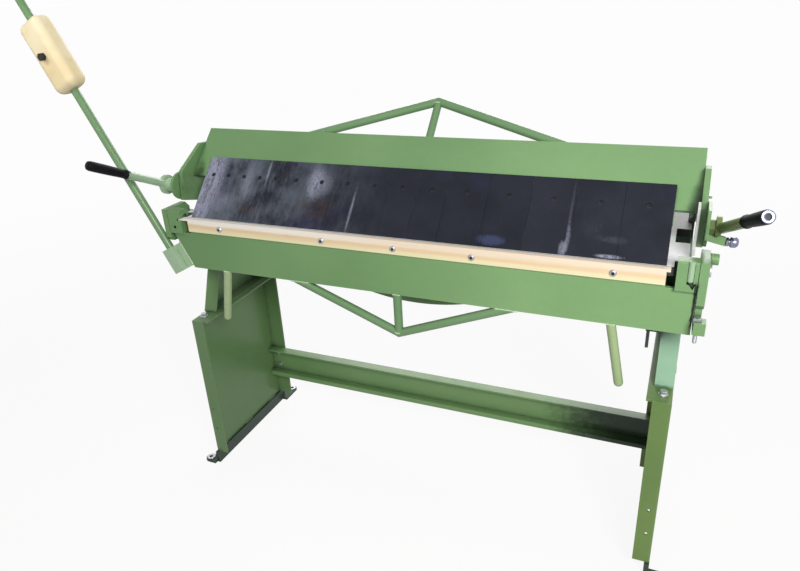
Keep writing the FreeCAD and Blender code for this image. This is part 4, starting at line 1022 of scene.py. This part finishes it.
# %% The thread
THREAD_PITCH, ROOT, CREST, THREAD_FOOT = 0.00175, 0.0037, 0.0045, 0.0022
TURNS, STEPS, THREAD_MERGE = 26, 28, 0.00002
only()
bpy.ops.mesh.primitive_circle_add(vertices=4, radius=1, fill_type="NOTHING")
thread = bpy.context.object
thread.name = "adjusting_thread"
bpy.ops.object.mode_set(mode="EDIT")
bpy.ops.mesh.select_mode(type="VERT")
bpy.ops.mesh.select_all(action="DESELECT")
cage = bmesh.from_edit_mesh(thread.data)
for corner in cage.verts:
    corner.select_set(corner.co.x < -0.5)
bmesh.update_edit_mesh(thread.data)
bpy.ops.mesh.delete(type="VERT")
bpy.ops.mesh.select_all(action="SELECT")
bpy.ops.transform.rotate(value=math.pi / 2, orient_axis="X", center_override=(0, 0, 0))
bpy.ops.transform.resize(value=(CREST - ROOT, 1, THREAD_PITCH / 2), center_override=(0, 0, 0))
bpy.ops.transform.translate(value=(ROOT, 0, THREAD_FOOT))
bpy.ops.object.mode_set(mode="OBJECT")
only(thread)
climb = thread.modifiers.new("climb", "SCREW")
climb.screw_offset = THREAD_PITCH
climb.iterations = TURNS
climb.steps = climb.render_steps = STEPS
climb.use_merge_vertices = True
climb.merge_threshold = THREAD_MERGE
bpy.ops.object.modifier_apply(modifier="climb")
open_mesh()
bpy.ops.mesh.normals_make_consistent(inside=False)
bpy.ops.object.mode_set(mode="OBJECT")
print("thread of", TURNS, "turns,", len(thread.data.polygons), "faces")

# %% Shank, head and place
ADJUST_FOOT, ADJUST_HEAD = part_point(681.0, -20, -157), part_point(681.0, -20, -96.7)
core = turned("adjusting_core", [(0.0, 0.0026), (0.0012, 0.0038), (0.0502, 0.0038)], sides=28)
hexagon = turned("adjusting_hexagon", [(0.0519, 0.0078), (0.0525, 0.0092), (0.0592, 0.0092),
                                       (0.0602, 0.0078)], sides=6, soft=0.0004)
only(core, hexagon, thread)
bpy.context.view_layer.objects.active = thread
bpy.ops.object.join()
laid(thread, ADJUST_FOOT, ADJUST_HEAD)
settle(thread, "adjusting_screw", dull_zinc)
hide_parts("adjusting_screw")
print("adjusting screw of", len(thread.data.polygons), "faces")

# %% [markdown]
# ## Weld beads
# The frame is welded, and a weld is what tells fabricated steel from a casting.
# A bead is a row of overlapping ripples, each one a frozen puddle that leans
# back on the one before. One ripple is modelled, a small ball squashed along
# the run and flattened, and every run of points gets its own row of copies with
# a little chance in size and place. The rows of one body are then joined.

# %% The ripple and the row
LEAN, OVERLAP, WOBBLE, SMALLEST, LARGEST = 24, 0.66, 0.05, 0.86, 1.12
only()
bpy.ops.mesh.primitive_uv_sphere_add(segments=10, ring_count=6, radius=1)
ripple = bpy.context.object
ripple.name = "ripple"
open_mesh()
bpy.ops.transform.resize(value=(0.62, 1.0, 0.78))
bpy.ops.transform.rotate(value=math.radians(LEAN), orient_axis="Y", center_override=(0, 0, 0))
bpy.ops.object.mode_set(mode="OBJECT")
bpy.ops.object.shade_smooth()


def weld(name, runs, body, finish, size):
    """A bead of ripples along each run, joined into one piece."""
    row = []
    for run in runs:
        for start, end in zip(run, run[1:]):
            way = Vector(end) - Vector(start)
            turn = way.to_track_quat("X", "Z").to_matrix().to_4x4()
            count = max(1, round(way.length / (size * OVERLAP)))
            for i in range(count):
                spot = Vector(start) + way * ((i + 0.5) / count)
                spot += Vector([random.gauss(0, size * WOBBLE) for _ in range(3)])
                grow = Matrix.Scale(size * random.uniform(SMALLEST, LARGEST), 4)
                row.append(placed(name, ripple.data.copy()))
                row[-1].data.transform(Matrix.Translation(spot) @ turn @ grow)
    only(*row)
    bpy.ops.object.join()
    bead = bpy.context.object
    bead.name = name
    settle(bead, body, finish)


def ring(centre, axis, radius, corners=14):
    """The closed run around a round bar."""
    across = axis.orthogonal().normalized()
    other = axis.cross(across).normalized()
    turn = [2 * math.pi * i / corners for i in range(corners + 1)]
    return [centre + across * (radius * math.cos(angle)) + other * (radius * math.sin(angle))
            for angle in turn]


def level_run(x, half, y, z):
    """A run along X, half to each side of x, in millimetres from the bend line."""
    return [part_point(x - half, y, z), part_point(x + half, y, z)]


print("one ripple of", len(ripple.data.polygons), "faces")

# %% Beads on the apron
# painted highlight: the beads get a paler copy of the green
weld_green_lit = enamel("weld_green_lit", "c9dcbf", "a9c49d", rub="e3ecdb", gloss=0.36, grime_and_shade_reach=0.004)
WIDE_BEAD, SLIM_BEAD = 0.0026, 0.0022
LOW_EDGE, FRONT, BACK, EAR_LEVEL, STRUT_END, BAR_RING = -146.2, -9.8, 1.6, -43.4, -251, 0.0112
cut_corner = [part_point(-656.5, FRONT, -71.5), part_point(-623.5, FRONT, -136.5)]
runs = [cut_corner]
for x, half in ((-277.5, 27), (277.5, 27), (0, 10), (-511, 9), (511, 9)):
    runs += [level_run(x, half, y, LOW_EDGE) for y in (-9.6, BACK)]
runs.append(ring(part_point(0, -4, STRUT_END), Vector((0, 0, 1)), BAR_RING))
for x in (-540, -330, -110, 110, 330, 540):
    runs += [level_run(x, 18, BACK, z) for z in (-67.5, -78.5)]
runs += [level_run(x, 19, FRONT, EAR_LEVEL) for x in (-650, 650)]
weld("apron_welds", runs, "apron", weld_green_lit, WIDE_BEAD)
print("apron:", len(runs), "beads")

# %% Beads on the leaf
def slope_point(x, t, d):
    """A point t up the leaf's slope and d behind it, in millimetres from the bend line."""
    half = math.sqrt(0.5)
    return part_point(x, (t + d) * half, (t - d) * half)


SLOPE_UP = Vector((0, math.sqrt(0.5), math.sqrt(0.5)))
STRUT_RING, RIB_FOOT, RIB_BACK, END_BACK = 0.0104, 98.6, 18.0, 18.2
runs = [ring(Vector((x, 0.2369, 0.9879)), Vector((1, 0, 0)), BAR_RING) for x in (-0.4208, 0.4368)]
for y, z in ((0.2403, 0.9913), (0.3335, 1.0844)):
    runs.append(ring(Vector((0.008, y, z)), SLOPE_UP, STRUT_RING))
for x in (-659, 659):
    for t in (150, 200, 250):
        runs.append([slope_point(x, t, END_BACK), slope_point(x, t + 26, END_BACK)])
for x in (-560, -336, -112, 112, 336, 560):
    runs.append([slope_point(x + step, RIB_FOOT, RIB_BACK) for step in (-18, 18)])
weld("leaf_welds", runs, "leaf", weld_green_lit, SLIM_BEAD)
print("leaf:", len(runs), "beads")

# %% Beads on the stand
INNER, OUTER, FOOT_LEVEL, LEDGE_LEVEL, FRAME_LEVEL = 0.6508, 0.6570, 0.0396, 0.5112, 0.5102
ALONG_LEG = ((INNER, 0.014, 0.054, FOOT_LEVEL), (INNER, 0.154, 0.194, FOOT_LEVEL),
             (INNER, 0.294, 0.334, FOOT_LEVEL), (INNER, 0.110, 0.140, LEDGE_LEVEL),
             (INNER, 0.220, 0.250, LEDGE_LEVEL), (INNER, 0.330, 0.360, LEDGE_LEVEL),
             (OUTER, 0.140, 0.180, FRAME_LEVEL), (OUTER, 0.280, 0.320, FRAME_LEVEL))
FRONT_BEAM, REAR_BEAM, BEAM_TOP = 48.2, 336.8, -21.0
runs = [[Vector((side * x, y, z)) for y in (start, end)]
        for side in (-1, 1) for x, start, end, z in ALONG_LEG]
for x in (-500, -250, 0, 250, 500):
    runs += [level_run(x, 18, y, BEAM_TOP) for y in (FRONT_BEAM, REAR_BEAM)]
weld("stand_welds", runs, "stand", stand_green, SLIM_BEAD)
bpy.data.objects.remove(ripple)
print("stand:", len(runs), "beads")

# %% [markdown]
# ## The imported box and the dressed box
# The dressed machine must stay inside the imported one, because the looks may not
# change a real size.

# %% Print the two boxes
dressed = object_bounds()
for title, box in (("packed box ", cad_box), ("dressed box", dressed)):
    print(title, [[round(v, 4) for v in corner] for corner in box])
